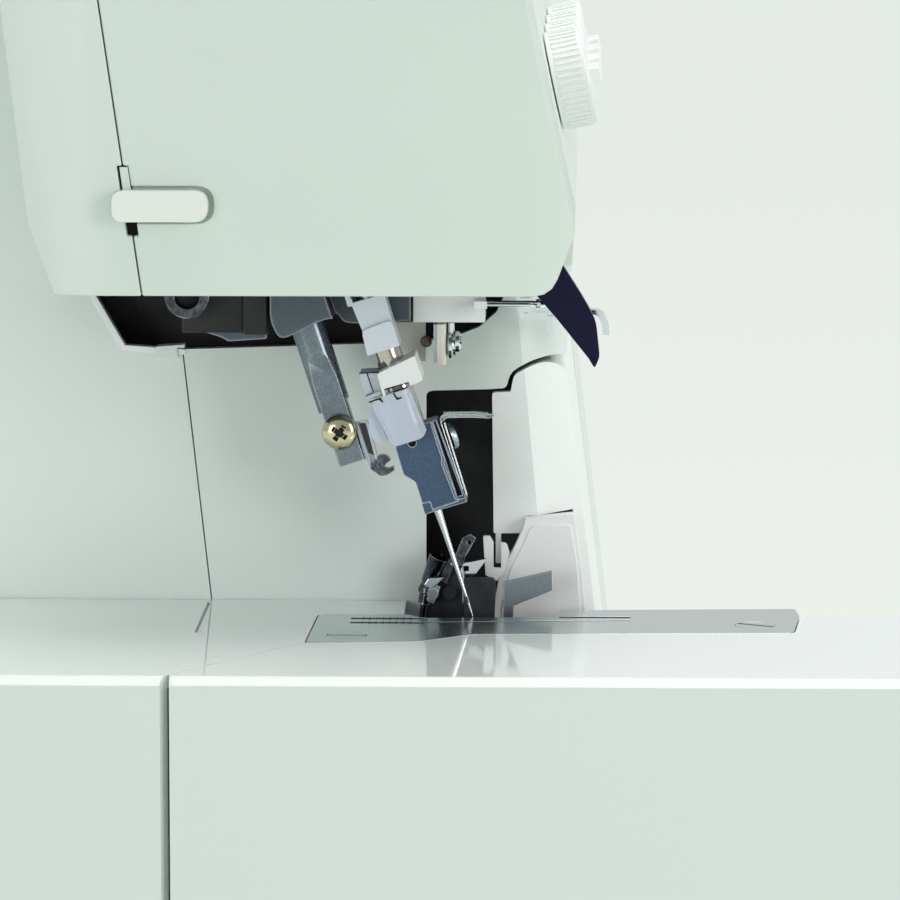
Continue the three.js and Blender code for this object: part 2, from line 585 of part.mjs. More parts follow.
function plateScrews() {
  PLATE_SCREWS.forEach(([x, y], i) => {
    const head = join(rodZ(PLATE_SCREW_R, -1, 0, 0, 0), rodZ(2.2, -9, -0.5, 0, 0, 12));
    const slot = block(-0.6, 0.6, -PLATE_SCREW_R - 1, PLATE_SCREW_R + 1, -0.6, 1).rotateZ(-0.5 * i);
    add(`plate_screw_${i + 1}`, cut(head, slot).translate(x, y, 0), "steel");
  });
}

// The cast bed carries the needle plate around an open middle for the feed dogs.
function bedFrame() {
  const top = -PLATE_THICK - GAP;
  const rim = alongZ(grow(PLATE, -2.5), -16, top);
  const middle = block(MAIN_ROWS[0] - 4, 20, -52, 31, -20, 0);
  const posts = PLATE_SCREWS.map(([x, y]) => rodZ(6, FLOOR + WALL + GAP, top - 1, x, y, 12));
  const screws = PLATE_SCREWS.map(([x, y]) => rodZ(2.2 + GAP, -14, 1, x, y, 12));
  const rail = block(-30, -16, -66, 30, -26, -12);
  const web = block(BED_SIDE + 1, BED_SIDE + 1 + WALL, PLATE_FRONT + 4, PIT.y0 - 1, FACE_FOOT[1] + 1,
    top - 1);
  add("bed_frame", join(cut(join(rim, rail, ...posts), middle, ...screws), web), "cast");
}

// Rows of sharp teeth along Y on one carrier.
function feedDog(rows, y0, y1, rise) {
  const root = -8;
  const pitch = 1.6;
  const teeth = [];
  const outlinePoints = [[y0, root]];
  for (let y = y0; y + pitch <= y1 + 1e-6; y += pitch) {
    outlinePoints.push([y, rise - 1], [y + pitch * 0.75, rise]);
  }
  outlinePoints.push([y1, root]);
  for (const x of rows) {
    teeth.push(alongX([...outlinePoints].reverse(), x - ROW_WIDTH / 2, x + ROW_WIDTH / 2));
  }
  const carrier = block(rows[0] - ROW_WIDTH / 2, rows[rows.length - 1] + ROW_WIDTH / 2, y0, y1, root - 6,
    root + 1);
  return join(carrier, ...teeth);
}

const FEED_TRAVEL = 2.2;       // to each side

function feedDogs() {
  add("feed_dog_main", feedDog(MAIN_ROWS, MAIN_SLOT.y0 + FEED_TRAVEL, MAIN_SLOT.y1 - FEED_TRAVEL, 0.3),
    "steel");
  add("feed_dog_differential", feedDog([FRONT_ROW], FRONT_SLOT.y0 + FEED_TRAVEL,
    FRONT_SLOT.y1 - FEED_TRAVEL, -0.3),
    "steel");
}

// ---- Looper area ---------------------------------------------------------------------------

function looperFrontCover() {
  const outer = cut(alongX(COVER_OUTLINE, WALL_X + GAP, COVER_RIGHT), cornerWedge(0));
  const cavity = [[FACE_FOOT[0] + WALL, COVER_FOOT - 1], [FACE_LIP[0] + WALL, 54], [20, 54],
    [20, COVER_FOOT - 1]];
  const inner = cut(alongX(cavity, WALL_X + WALL, COVER_RIGHT - WALL), cornerWedge(WALL));
  add("looper_front_cover", cut(outer, inner), "coverLight");
}

function wasteChute() {
  const side = alongX([[-4.6, -14], [-4.4, -1, 3], [-6.6, 8.6, 4], [-9.6, 13.2, 3], [-12, 18, 2],
    [-12.4, 20.4],
    [-22.9, 20.4], [-24.4, 10], [-25.6, -1.6], [-25.6, -14]], WALL_X - 4.5, WALL_X);
  add("waste_chute", side, "coverLight");
}

function looperGuard() {
  const fork = alongX([[-2, 16.6, 0.4], [-3.6, 16.6, 0.3], [-4.5, 15], [-4.5, 8.9], [-6.3, 8.9], [-6.3, 15],
    [-7.6, 14.9, 0.8], [-8.3, 12.6], [-7.1, 8],
    [-5.4, 5.8], [-2.6, 7.2]], WALL_X - 6.6, WALL_X - 5);
  add("looper_guard", fork, "white");
}

function upperKnife() {
  const blade = alongX([[-7, 7], [-18.6, 9.8], [-18.8, 5.2], [-9.5, 1.4], [-9.5, -16], [-7, -16]], 8, 9.6);
  const arm = alongX([[-6, -10], [-11, -10], [-11, -42, 3], [-6, -42, 3]], 9.2, 14);
  add("upper_knife", join(blade, arm), "steel");
}

function lowerKnife() {
  const blade = alongX([[2.4, 8.2], [-4.8, 8.3, 1], [-5.3, 7], [-4.3, -20], [2.4, -20]], 7.2, 7.9);
  add("lower_knife", blade, "grey");
}

const UPPER_LOOPER_PIVOT = { y: -1, z: -34 };
const LOWER_LOOPER_PIVOT = { y: 17, z: -34 };

function upperLooper() {
  const blade = alongX([[-3.1, 12.4], [1, 12], [2.6, 11], [3.4, 8.6], [2.6, -34, 2], [-0.8, -38, 2],
    [-3.6, -34, 2],
    [0, -12], [0.6, 8.2], [0, 9.6]], 10.4, 12.2);
  const hub = rodX(4.5, 10.4, 16, UPPER_LOOPER_PIVOT.y, UPPER_LOOPER_PIVOT.z, 16);
  add("upper_looper", join(blade, hub), "chrome");
}

function lowerLooper() {
  const angle = Math.atan2(LOWER_LOOPER_PIVOT.y - 8.4, 12 - LOWER_LOOPER_PIVOT.z);
  const length = Math.hypot(LOWER_LOOPER_PIVOT.y - 8.4, 12 - LOWER_LOOPER_PIVOT.z);
  const stem = rodZ(2.6, 0, length, 0, 0, 16);
  const collar = rodZ(3.3, length - 10.5, length - 3.6, 0, 0, 16);
  const holder = join(stem, collar).rotateX(angle).translate(16, LOWER_LOOPER_PIVOT.y,
    LOWER_LOOPER_PIVOT.z);
  const finger = alongX([[8.6, 10.8], [4.4, 11.6, 1], [-0.2, 17.6, 1], [-1.6, 16.8], [1.6, 12.2],
    [4, 8.4, 1],
    [8.6, 6.4]], 15, 17);
  const hub = rodX(4.5, 12.8, 20, LOWER_LOOPER_PIVOT.y, LOWER_LOOPER_PIVOT.z, 16);
  add("lower_looper", join(holder, finger, hub), "chrome");
}

// ---- Frame and drive -----------------------------------------------------------------------

const FRAME_X = 46;

function machineFrame() {
  const plate = alongX([[-14, FLOOR + WALL + GAP], [96, FLOOR + WALL + GAP], [100, 60], [96, SHOULDER - 4],
    [-6, SHOULDER - 4],
    [-16, 96], [-6, 62], [-6, 48], [-14, 40]], FRAME_X, FRAME_X + 5);
  const flange = alongX([[89.5, 62.8], [93.6, 62.8], [98.4, SHOULDER - 10], [94, SHOULDER - 10]],
    WALL_X + WALL + GAP, FRAME_X + 1);
  const foot = block(FRAME_X, FRAME_X + 40, -14, 96, FLOOR + WALL + GAP, FLOOR + WALL + 6);
  const shaftHole = rodX(SHAFT.r + 0.5, FRAME_X - 1, FRAME_X + 6, SHAFT.y, SHAFT.z);
  const looperHoles = [UPPER_LOOPER_PIVOT, LOWER_LOOPER_PIVOT].map(({ y, z }) => rodX(2.2, FRAME_X - 1,
    FRAME_X + 6, y, z, 12));
  add("machine_frame", cut(join(plate, flange, foot), shaftHole, ...looperHoles), "black");
}

const PULLEY = { x0: BODY_RIGHT - 31, x1: BODY_RIGHT - 19, r: 26 };

function driveShaft() {
  const shaft = rodX(SHAFT.r, FRAME_X - 6, BODY_RIGHT + 1, SHAFT.y, SHAFT.z);
  const pulley = rodX(PULLEY.r, PULLEY.x0, PULLEY.x1, SHAFT.y, SHAFT.z, 32);
  const crank = rodX(11, FRAME_X + 8, FRAME_X + 16, SHAFT.y + 4, SHAFT.z, 20);
  add("main_shaft", join(shaft, pulley, crank), "steel");
}

function handwheel() {
  const x0 = BODY_RIGHT + 2;
  const profile = [[0.001, 0], [WHEEL_R - 4, 0], [WHEEL_R, 3], [WHEEL_R, WHEEL_T - 5],
    [WHEEL_R - 5, WHEEL_T],
    [16, WHEEL_T], [13, WHEEL_T - 4], [0.001, WHEEL_T - 4]].map(([r, h]) => new THREE.Vector2(r, h));
  profile[0].x = 0;
  profile[profile.length - 1].x = 0;
  const wheel = new THREE.LatheGeometry(profile, 28).rotateZ(-Math.PI / 2).translate(x0, SHAFT.y, SHAFT.z);
  const grooves = [];
  const count = 14;
  for (let i = 0; i < count; i += 1) {
    const turn = (2 * Math.PI * (i + 0.5)) / count;
    grooves.push(rodX(1.6, x0 + 2, x0 + WHEEL_T + 1, SHAFT.y + WHEEL_R * Math.cos(turn),
      SHAFT.z + WHEEL_R * Math.sin(turn), 6));
  }
  const bore = rodX(SHAFT.r + GAP, x0 - 1, x0 + 8, SHAFT.y, SHAFT.z);
  add("handwheel", cut(wheel, bore, ...grooves), "cover");
}

// ---- Sewing head mechanism -----------------------------------------------------------------

function armCasting() {
  const side = alongX([[47.2, 88], [47.2, 70.4, 2], [45, 66.2, 2.4], [41.6, 67.6, 2], [36.4, 70.6, 2],
    [32.6, 71.8, 2],
    [30.6, 69.4, 1.5], [29.4, 67.4, 1], [14.8, 69.1], [14.8, 92], [20, 140], [70, 140], [70, 100],
      [56, 88]], -7, 22);
  const bore = (r, y) => lean(rodZ(r, 40, 170, 0, y));
  const channel = lean(block(-9, 6.4, -12, 9.2, 55, 100));
  const front = block(-9, 6.4, -10, 40, 64, 78);
  const relief = common(front, lean(block(-9, 6.4, -30, 8.4, 40, 90)));
  const casting = cut(side, bore(PRESSER_BAR_R + BORE, PRESSER_BAR_Y), bore(NEEDLE_BAR_R + BORE, 0),
    channel, relief);
  add("arm_casting", casting, "cast");
}

// The block that lifts the presser bar, with its bracket below and a bushing on its left.
function liftBlock() {
  const main = block(2, 20, 53.6, 68.6, 66.8, 87.5);
  // The side lug stops short of the presser bar, which leans back towards its top.
  const sideTop = 81.5;
  const barBack = (PRESSER_BAR_Y + PRESSER_BAR_R) / Math.cos(TILT) + sideTop * Math.tan(TILT);
  const side = block(-3, 12, barBack + 2 * GAP, 53.7, 66.9, sideTop);
  const bracket = alongX([[64, 67], [48.4, 67], [48.4, 64.6], [58, 64]], 5, 14);
  const ring = cut(rodX(5.2, -6, 2.1, 66.5, 76.4, 24), rodX(2.6, -7, -2, 66.5, 76.4, 16));
  add("lift_block", join(main, side, bracket, ring), "black");
}

const CLAMP_TOP = 47.8;
const BAR_TOP = 138;

function needleAssembly() {
  add("needle_bar", rodZ(NEEDLE_BAR_R, CLAMP_TOP + GAP, BAR_TOP, 0, 0, 24), "chrome", tilted);

  const body = alongX([[-7.2, 27.2], [2.8, 27.2], [2.7, 35.3], [4.8, 37.6], [4.6, 44.2], [3.5, CLAMP_TOP],
    [-6.4, CLAMP_TOP]], -4.2, 4.2);
  const socket = rodZ(1.35, 20, 41, 0, 0, 12);
  const notch = rodX(1.3, -5, -2.2, 0.6, 44.2, 12);
  add("needle_clamp", cut(body, socket, notch), "zinc", tilted);

  const profile = [[0, 0], [0.45, 4], [0.45, 20.4], [1, 22], [1, 40],
    [0, 40]].map(([r, h]) => new THREE.Vector2(r, h));
  add("needle", new THREE.LatheGeometry(profile, 12).rotateX(Math.PI / 2), "chrome", tilted);

  const guide = alongX([[-7.7, 27.8], [-8.4, 27.8], [-8.6, 46.4], [-19.4, 43.2], [-19.9, 44.4],
    [-8.6, 48.2],
    [-7.4, 47.4]], -3.2, 3.2);
  const screw = join(rodY(3.1, -10.3, -8.2, 0.4, 42, 16), rodY(2, -10.8, -10, 0.4, 42, 12));
  add("needle_thread_guide", join(guide, screw), "chrome", tilted);
}

function threader() {
  const bore = rodZ(NEEDLE_BAR_R + BORE, 40, 100, 0, 0, 24);
  const tube = alongX([[4.4, 79.8], [3.7, 72.8], [4, 66.8], [-3.9, 66.8], [-4, 73.3], [-4.3, 79.4]], -5,
    4.4);
  const lug = block(-4.4, -3, 3.4, 5, 79, 84);
  add("threader_sleeve", cut(join(tube, lug), bore), "white", tilted);

  const body = alongX([[7.4, 58.4], [7.2, 63.6], [5, 63.6], [5, 62.2], [2.6, 62.2], [2.6, 62.8], [-6.8, 64],
    [-6.8, 57.8], [-3.7, 57.6], [-3.6, 58.6], [3, 58.9], [3.1, 58.2]], -9, 4.6);
  add("threader_block", cut(body, bore), "white", tilted);

  const panel = alongX([[6.8, 57.2], [9.4, 49.9], [8, 46.8], [5.6, 46.8], [5.7, 50.9], [4.4, 45.2],
    [-2.5, 45.2],
    [-3.8, 46.6], [-3.1, 57.2]], -8.4, -5.4);
  add("threader_shield", panel, "clear", tilted);
}

function threaderLever() {
  const z0 = PILL.z - PILL.r;
  const z1 = PILL.z + PILL.r;
  const x0 = HEAD_LEFT - GAP - PILL.out;
  const pill = alongX([[PILL.y0, z0, PILL.r], [PILL.y1, z0, 2.6], [PILL.y1, z1, 2.6],
    [PILL.y0, z1, PILL.r]],
    x0, HEAD_LEFT - GAP, 5);
  const y = headSeamAt(PILL.z);
  const stem = block(HEAD_LEFT - GAP - 1, HEAD_LEFT + WALL + 6, y - 0.8, y + 0.8, PILL.z - 2.2,
    PILL.z + 2.2);
  add("threader_lever", join(pill, stem), "white");
}

function presserAssembly() {
  const y = PRESSER_BAR_Y;
  const bar = rodZ(PRESSER_BAR_R, 43.6, BAR_TOP, 0, y, 24);
  const flat = alongY([[-8, 40], [-2.7, 40], [-2.7, 66], [-4.4, 74], [-8, 74]], y - 8, y + 8);
  const nose = [block(-6, 6, y + 3.2, y + 9, 40, 47.8), block(-6, 6, y - 9, y - 2.4, 40, 47.8)];
  const tapped = rodX(2.1, -8, 8, 16, 51.8, 12);
  add("presser_bar", cut(bar, flat, ...nose, tapped), "steel", tilted);

  const dome = new THREE.SphereGeometry(5.4, 20, 6, 0, 2 * Math.PI, 0, Math.asin(4.4 / 5.4));
  const lid = new THREE.CylinderGeometry(4.4, 4.4, 1.2, 20);
  dome.translate(0, -5.4 * Math.cos(Math.asin(4.4 / 5.4)), 0);
  const head = join(lid.clone().translate(0, -0.6, 0), closedDome(dome));
  const cross = [block(-0.75, 0.75, 0, 3, -3, 3), block(-3, 3, 0, 3, -0.75, 0.75)];
  const stem = new THREE.CylinderGeometry(1.8, 1.8, 6, 12).translate(0, -3.8, 0);
  const screw = cut(join(head, stem), ...cross).rotateZ(Math.PI / 2).rotateX(0.5).translate(-4.2, 16, 51.8);
  add("presser_screw", screw, "brass", tilted);

  const seat = y - PRESSER_BAR_R - 11.5;
  const plate = alongX([[11.1, 52], [9.1, 51.8], [9.3, 46.4], [10.4, 43], [11.1, 43]], -0.6, 2.6);
  const hook = alongX([[12.7, 45], [11.3, 44.6], [10.6, 43.6], [9.4, 42], [7.6, 42.7, 0.6], [6.5, 41.5],
    [7.6, 41.4],
    [8.8, 40.5], [7.7, 39.9], [6.4, 39.4], [6.8, 38.6], [9.3, 38.4], [11.8, 40, 0.6]], -2, -0.2);
  add("foot_catch", join(plate, hook).translate(0, seat, 0), "steel", tilted);
}

// Close the open rim of a dome whose top points along +Y.
function closedDome(dome) {
  const points = dome.parameters;
  const rim = points.radius * Math.sin(points.thetaLength);
  const base = points.radius * Math.cos(points.thetaLength);
  const profile = [];
  for (let i = 0; i <= points.heightSegments; i += 1) {
    const angle = points.thetaLength * (1 - i / points.heightSegments);
    profile.push(new THREE.Vector2(points.radius * Math.sin(angle),
      points.radius * Math.cos(angle) - base));
  }
  profile[profile.length - 1].x = 0;
  profile.unshift(new THREE.Vector2(rim, -0.4));
  profile.unshift(new THREE.Vector2(0, -0.4));
  return new THREE.LatheGeometry(profile, points.widthSegments);
}

const TAKE_UP = { x: -2, thick: 3 };

function takeUpLever() {
  const fin = alongX([[-28.4, 59.2, 0.8], [-29.6, 62, 1], [-28.7, 70.4, 2], [-26.6, 74.4, 2], [-24.6, 77.7],
    [-20.6, 84], [-6, 102], [0, 118, 3], [12, 118, 3], [12, 106, 3], [4, 98], [-13.1, 78.2], [-19.7, 70.7],
      [-27, 61.6]],
  TAKE_UP.x, TAKE_UP.x + TAKE_UP.thick);
  add("take_up_lever", fin, "navy");
}

function headGuides() {
  add("head_guide_block", block(8, 22, -2.6, 14.4, 68.8, 92), "white");
  const plate = block(8.6, 18, 9.2, 11.2, 58.6, 68.5);
  const post = block(9, 17, 6.6, 9.4, 58.4, 68.5);
  const screw = join(rodY(3.2, 4.2, 6.8, 12, 63.1, 16), rodY(2.2, 2.6, 4.4, 12, 64, 12));
  add("thread_clip", join(plate, post, screw), "steel");

  const wireR = 0.55;
  const corners = [[4.2, -1], [4.2, -14.4], [5.8, -15.2], [7, -12], [7, -1]];
  const parts = corners.slice(1).map(([x1, y1], i) => {
    const [x0, y0] = corners[i];
    const length = Math.hypot(x1 - x0, y1 - y0) + wireR;
    return new THREE.BoxGeometry(length, wireR * 2, wireR * 2).rotateZ(Math.atan2(y1 - y0, x1 - x0))
      .translate((x0 + x1) / 2, (y0 + y1) / 2, 74.3);
  });
  const foot = block(3.6, 7.7, -3, -0.2, 73, 75.6);
  add("wire_guide", join(foot, ...parts), "chrome");

  const bracket = alongX([[-10.8, 70], [-10.8, 72], [-29, 73, 1.6], [-32, 72.4, 1.4], [-32.4, 68.2],
    [-30.4, 68.2],
    [-30.2, 70.8], [-20, 70.2], [-19.6, 67], [-18.2, 67], [-18, 70]], 14.4, 19);
  const stay = block(14.4, 19, -13.6, -10.8, 70, 80.4);
  add("guide_bracket", join(bracket, stay), "steel");
}

// ---- Thread stand --------------------------------------------------------------------------

const STAND = { x0: 42, x1: BODY_RIGHT - 15, z: 92, thick: 6 };
const MAST = { x: 129, outer: 6.5, middle: 4.8, inner: 3.2, tube: 96, top: 196 };

function threadStand() {
  const y0 = PILLAR_REAR + 4.6;
  const mastY = y0 + 10;
  const tray = alongZ([[STAND.x0, y0], [STAND.x1, y0], [STAND.x1, STAND_REAR, 14],
    [STAND.x0, STAND_REAR, 14]],
    STAND.z, STAND.z + STAND.thick);
  const pins = [];
  const count = 4;
  const pitch = (STAND.x1 - STAND.x0) / count;
  for (let i = 0; i < count; i += 1) {
    const x = STAND.x0 + pitch * (i + 0.5);
    const y = STAND_REAR - 18;
    const top = STAND.z + STAND.thick;
    pins.push(rodZ(13, top - 1, top + 4, x, y, 20), rodZ(2.6, top, top + 46, x, y, 10));
  }
  const skirt = block(STAND.x0 + 10, STAND.x1 - 10, y0, y0 + 3, STAND.z - 24, STAND.z + 1);
  const bottom = STAND.z;
  const tube = (r, hole, z0, z1) => cut(rodZ(r, z0, z1, MAST.x, mastY), rodZ(hole, z0 + 2, z1 + 1, MAST.x,
    mastY));
  const solidStand = join(tray, skirt, ...pins, rodZ(MAST.outer, bottom, bottom + MAST.tube, MAST.x,
    mastY));
  const mastBore = rodZ(MAST.middle + BORE, bottom + 2, bottom + MAST.tube + 1, MAST.x, mastY);
  add("spool_stand", cut(solidStand, mastBore), "cover");
  add("mast_middle", tube(MAST.middle, MAST.inner + BORE, bottom + 3, bottom + MAST.tube + 3), "steel");

  const rod = rodZ(MAST.inner, bottom + 6, MAST.top, MAST.x, mastY);
  const barTop = MAST.top + 4;
  const bar = block(STAND.x0 + 8, STAND.x1 - 8, mastY - 4, mastY + 4, MAST.top - 2, barTop);
  const hooks = [];
  for (let i = 0; i < count; i += 1) {
    const x = STAND.x0 + pitch * (i + 0.5);
    const eye = cut(rodZ(5, MAST.top, MAST.top + 2.4, x, mastY + 8, 16), rodZ(2.4, MAST.top - 1, barTop, x,
      mastY + 8, 12),
      block(x - 0.8, x + 0.8, mastY + 8, mastY + 14, MAST.top - 1, barTop));
    hooks.push(eye);
  }
  add("thread_guide_bar", join(rod, bar, ...hooks), "cover");
}

// ---- Assembly ------------------------------------------------------------------------------

basePan();
feet();
frontCasing();
rearCasing();
dials();
pressureDial();
powerSwitch();
inletSocket();
presserLifter();
faceCover();
headRearCover();
topCover();
carryHandle();
bedCover();
clothPlateDoor();
needlePlate();
plateScrews();
bedFrame();
feedDogs();
looperFrontCover();
wasteChute();
looperGuard();
upperKnife();
lowerKnife();
upperLooper();
lowerLooper();
machineFrame();
driveShaft();
handwheel();
armCasting();
liftBlock();
needleAssembly();
threader();
threaderLever();
presserAssembly();
takeUpLever();
headGuides();
threadStand();

const frontmost = deckFrontAt(STITCH_Z) - DIAL_SEAT - STITCH_DEPTH - GRIP;
const centreY = (frontmost + STAND_REAR) / 2;
machine.position.set(-CENTRE_X, -centreY, BED_HEIGHT);
const group = new THREE.Group();
group.add(machine);

export default group;
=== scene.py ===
import json
import math

import bmesh
import bpy
from mathutils import Matrix, Vector


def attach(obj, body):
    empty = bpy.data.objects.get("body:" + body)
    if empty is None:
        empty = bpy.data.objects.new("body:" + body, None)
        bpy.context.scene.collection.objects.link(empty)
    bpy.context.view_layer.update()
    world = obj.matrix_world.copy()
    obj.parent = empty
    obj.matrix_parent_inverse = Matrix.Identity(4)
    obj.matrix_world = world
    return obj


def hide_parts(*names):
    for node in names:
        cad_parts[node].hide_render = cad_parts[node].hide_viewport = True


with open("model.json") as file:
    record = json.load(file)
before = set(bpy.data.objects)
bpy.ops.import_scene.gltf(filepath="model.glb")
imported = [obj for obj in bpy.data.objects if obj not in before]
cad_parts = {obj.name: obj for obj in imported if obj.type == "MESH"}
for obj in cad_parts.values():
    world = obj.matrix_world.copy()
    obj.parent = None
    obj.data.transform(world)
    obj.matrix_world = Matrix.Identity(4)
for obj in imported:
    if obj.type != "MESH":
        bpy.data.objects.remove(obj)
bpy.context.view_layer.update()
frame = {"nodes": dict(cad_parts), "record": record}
nodes = frame["nodes"]

# ---- Places ----------------------------------------------------------------------------------
# Lengths in the pieces below are millimetres from the needle point: x right, y back, z up.

NEEDLE = Vector((-0.083, -0.0168, 0.112))
TILT = math.radians(18)


def at(x, y, z):
    return NEEDLE + Vector((x, y, z)) / 1000


def leaning(x, y, z):
    """A place in the frame of the leaning bars."""
    c, s = math.cos(TILT), math.sin(TILT)
    return at(x, y * c + z * s, z * c - y * s)


# ---- Camera, light, floor --------------------------------------------------------------------

def add_camera():
    data = bpy.data.cameras.new("camera")
    data.lens = 224
    data.sensor_width = 36
    data.clip_start = 0.05
    data.clip_end = 60
    camera = bpy.data.objects.new("camera", data)
    bpy.context.scene.collection.objects.link(camera)
    down, aside = math.radians(7.83), math.radians(1.432)
    forward = Vector((math.cos(down) * math.cos(aside), math.cos(down) * math.sin(aside), -math.sin(down)))
    camera.location = at(-1300, -27.085, 218.487)
    camera.rotation_euler = forward.to_track_quat("-Z", "Y").to_euler()
    bpy.context.scene.camera = camera


def linear(code):
    """sRGB hex to linear RGBA."""
    parts = [int(code[i:i + 2], 16) / 255 for i in (1, 3, 5)]
    return tuple(c / 12.92 if c <= 0.04045 else ((c + 0.055) / 1.055) ** 2.4 for c in parts) + (1.0,)


def node(tree, kind, inputs=None, **settings):
    """Adds a node, sets its properties, and sets or links its inputs."""
    made = tree.nodes.new(kind)
    for key, value in settings.items():
        setattr(made, key, value)
    for key, value in (inputs or {}).items():
        if isinstance(value, bpy.types.NodeSocket):
            tree.links.new(value, made.inputs[key])
        else:
            made.inputs[key].default_value = value
    return made


def area_light(name, place, target, size, power, color="#ffffff"):
    data = bpy.data.lights.new(name, "AREA")
    data.shape = "RECTANGLE"
    data.size, data.size_y = size
    data.energy = power
    data.color = linear(color)[:3]
    light = bpy.data.objects.new(name, data)
    light.location = place
    light.rotation_euler = (Vector(target) - Vector(place)).to_track_quat("-Z", "Y").to_euler()
    bpy.context.scene.collection.objects.link(light)


def add_light():
    """Soft studio: bright overhead and to the right, darker behind the camera so that metal has contrast."""
    scene = bpy.context.scene
    scene.view_settings.view_transform = "Standard"
    scene.view_settings.look = "None"
    world = bpy.data.worlds.new("studio")
    scene.world = world
    world.use_nodes = True
    tree = world.node_tree
    tree.nodes.clear()
    place = node(tree, "ShaderNodeTexCoord")
    split = node(tree, "ShaderNodeSeparateXYZ", {0: place.outputs["Generated"]})
    height = node(tree, "ShaderNodeMapRange", {"Value": split.outputs["Z"], "From Min": -0.15, "From Max": 0.7,
                                               "To Min": 0.72, "To Max": 0.85})
    side = node(tree, "ShaderNodeMapRange", {"Value": split.outputs["X"], "From Min": -0.9, "From Max": 0.5,
                                             "To Min": 0.60, "To Max": 1.0})
    power = node(tree, "ShaderNodeMath", {0: height.outputs[0], 1: side.outputs[0]}, operation="MULTIPLY")
    glow = node(tree, "ShaderNodeBackground", {"Color": linear("#f3f5f6"), "Strength": power.outputs[0]})
    plain = node(tree, "ShaderNodeBackground", {"Color": linear("#e5ece4"), "Strength": 1.0})
    seen = node(tree, "ShaderNodeLightPath")
    mix = node(tree, "ShaderNodeMixShader", {0: seen.outputs["Is Camera Ray"], 1: glow.outputs[0], 2: plain.outputs[0]})
    node(tree, "ShaderNodeOutputWorld", {"Surface": mix.outputs[0]})
    area_light("key softbox", (-1.2, -1.25, 0.55), (0, 0, 0.15), (0.6, 0.8), 9.5, "#fff8f8")
    area_light("fill softbox", (-1.5, 0.75, 0.32), (0, 0, 0.15), (0.5, 0.5), 4.0, "#fbf6ff")
    area_light("top softbox", (-0.1, -0.2, 1.9), (0, 0, 0.1), (1.2, 1.2), 17, "#fff9f9")


def add_floor():
    mesh = bpy.data.meshes.new("floor")
    half = 9
    mesh.from_pydata([(-half, -half, 0), (half, -half, 0), (half, half, 0), (-half, half, 0)], [], [(0, 1, 2, 3)])
    floor = bpy.data.objects.new("floor", mesh)
    floor.location.z = -0.0005
    bpy.context.scene.collection.objects.link(floor)
    material = bpy.data.materials.new("pale floor")
    material.use_nodes = True
    shader = material.node_tree.nodes["Principled BSDF"]
    shader.inputs["Base Color"].default_value = linear("#6e726e")
    shader.inputs["Roughness"].default_value = 0.9
    shader.inputs["Specular IOR Level"].default_value = 0.05
    shader.inputs["Emission Color"].default_value = linear("#dde3dc")
    shader.inputs["Emission Strength"].default_value = 0.92
    mesh.materials.append(material)


add_camera()
add_light()
add_floor()

# ---- Materials -------------------------------------------------------------------------------

def coordinates(tree, stretch=(1, 1, 1)):
    place = node(tree, "ShaderNodeTexCoord")
    return node(tree, "ShaderNodeMapping", {"Vector": place.outputs["Object"], "Scale": stretch}).outputs[0]


def noise(tree, vector, scale, detail=3, rough=0.5):
    """Even mottling: scale is in cells per metre."""
    return node(tree, "ShaderNodeTexNoise", {"Vector": vector, "Scale": scale, "Detail": detail,
                                             "Roughness": rough}).outputs["Fac"]


def spread(tree, value, low, high, start=0.3, end=0.7):
    return node(tree, "ShaderNodeMapRange", {"Value": value, "From Min": start, "From Max": end, "To Min": low,
                                             "To Max": high}).outputs["Result"]


def tint(tree, fac, first, second):
    return node(tree, "ShaderNodeMix", {"Factor": fac, "A": linear(first), "B": linear(second)},
                data_type="RGBA").outputs["Result"]


def edge_mask(tree, radius):
    """1 near a sharp edge, 0 on open surface."""
    soft = node(tree, "ShaderNodeBevel", {"Radius": radius}, samples=4).outputs[0]
    flat = node(tree, "ShaderNodeNewGeometry").outputs["True Normal"]
    dot = node(tree, "ShaderNodeVectorMath", {0: soft, 1: flat}, operation="DOT_PRODUCT").outputs["Value"]
    return node(tree, "ShaderNodeMapRange", {"Value": dot, "From Min": 0.99, "From Max": 0.85, "To Min": 0.0,
                                             "To Max": 1.0}).outputs["Result"]


def bumped(tree, height, depth, normal=None):
    """Relief with its depth in metres."""
    inputs = {"Height": height, "Distance": depth, "Strength": 1.0}
    if normal is not None:
        inputs["Normal"] = normal
    return node(tree, "ShaderNodeBump", inputs).outputs[0]


MATERIALS = {}


def material(name):
    """Registers the function that fills in the material of that name."""
    def register(fill):
        made = bpy.data.materials.new(name)
        made.use_nodes = True
        tree = made.node_tree
        tree.nodes.clear()
        shader = node(tree, "ShaderNodeBsdfPrincipled")
        node(tree, "ShaderNodeOutputMaterial", {"Surface": shader.outputs[0]})
        for key, value in fill(tree).items():
            if isinstance(value, bpy.types.NodeSocket):
                tree.links.new(value, shader.inputs[key])
            else:
                shader.inputs[key].default_value = value
        MATERIALS[name] = made
        return fill
    return register


def moulded(tree, light, dark, rough, grain=0.000004):
    """Moulded plastic: faint mottling, fine spark texture and slightly uneven shine."""
    place = coordinates(tree)
    patches = noise(tree, place, 9, 2)
    fine = noise(tree, place, 2600, 2, 0.6)
    rubbed = noise(tree, place, 35, 5, 0.7)
    return {
        "Base Color": tint(tree, spread(tree, patches, 0, 1), light, dark),
        "Roughness": spread(tree, rubbed, rough, rough + 0.07),
        "IOR": 1.53,
        "Normal": bumped(tree, fine, grain),
    }


@material("cover_shell")
def _(tree):
    # Glossy moulded ABS: pale grey-green body with a fine spark texture.
    return moulded(tree, "#dde8e2", "#d8e3dd", 0.30)


@material("cover_light")
def _(tree):
    # Satin ABS of the small covers, the palest of the mouldings.
    return moulded(tree, "#eff4f1", "#e9efec", 0.32)


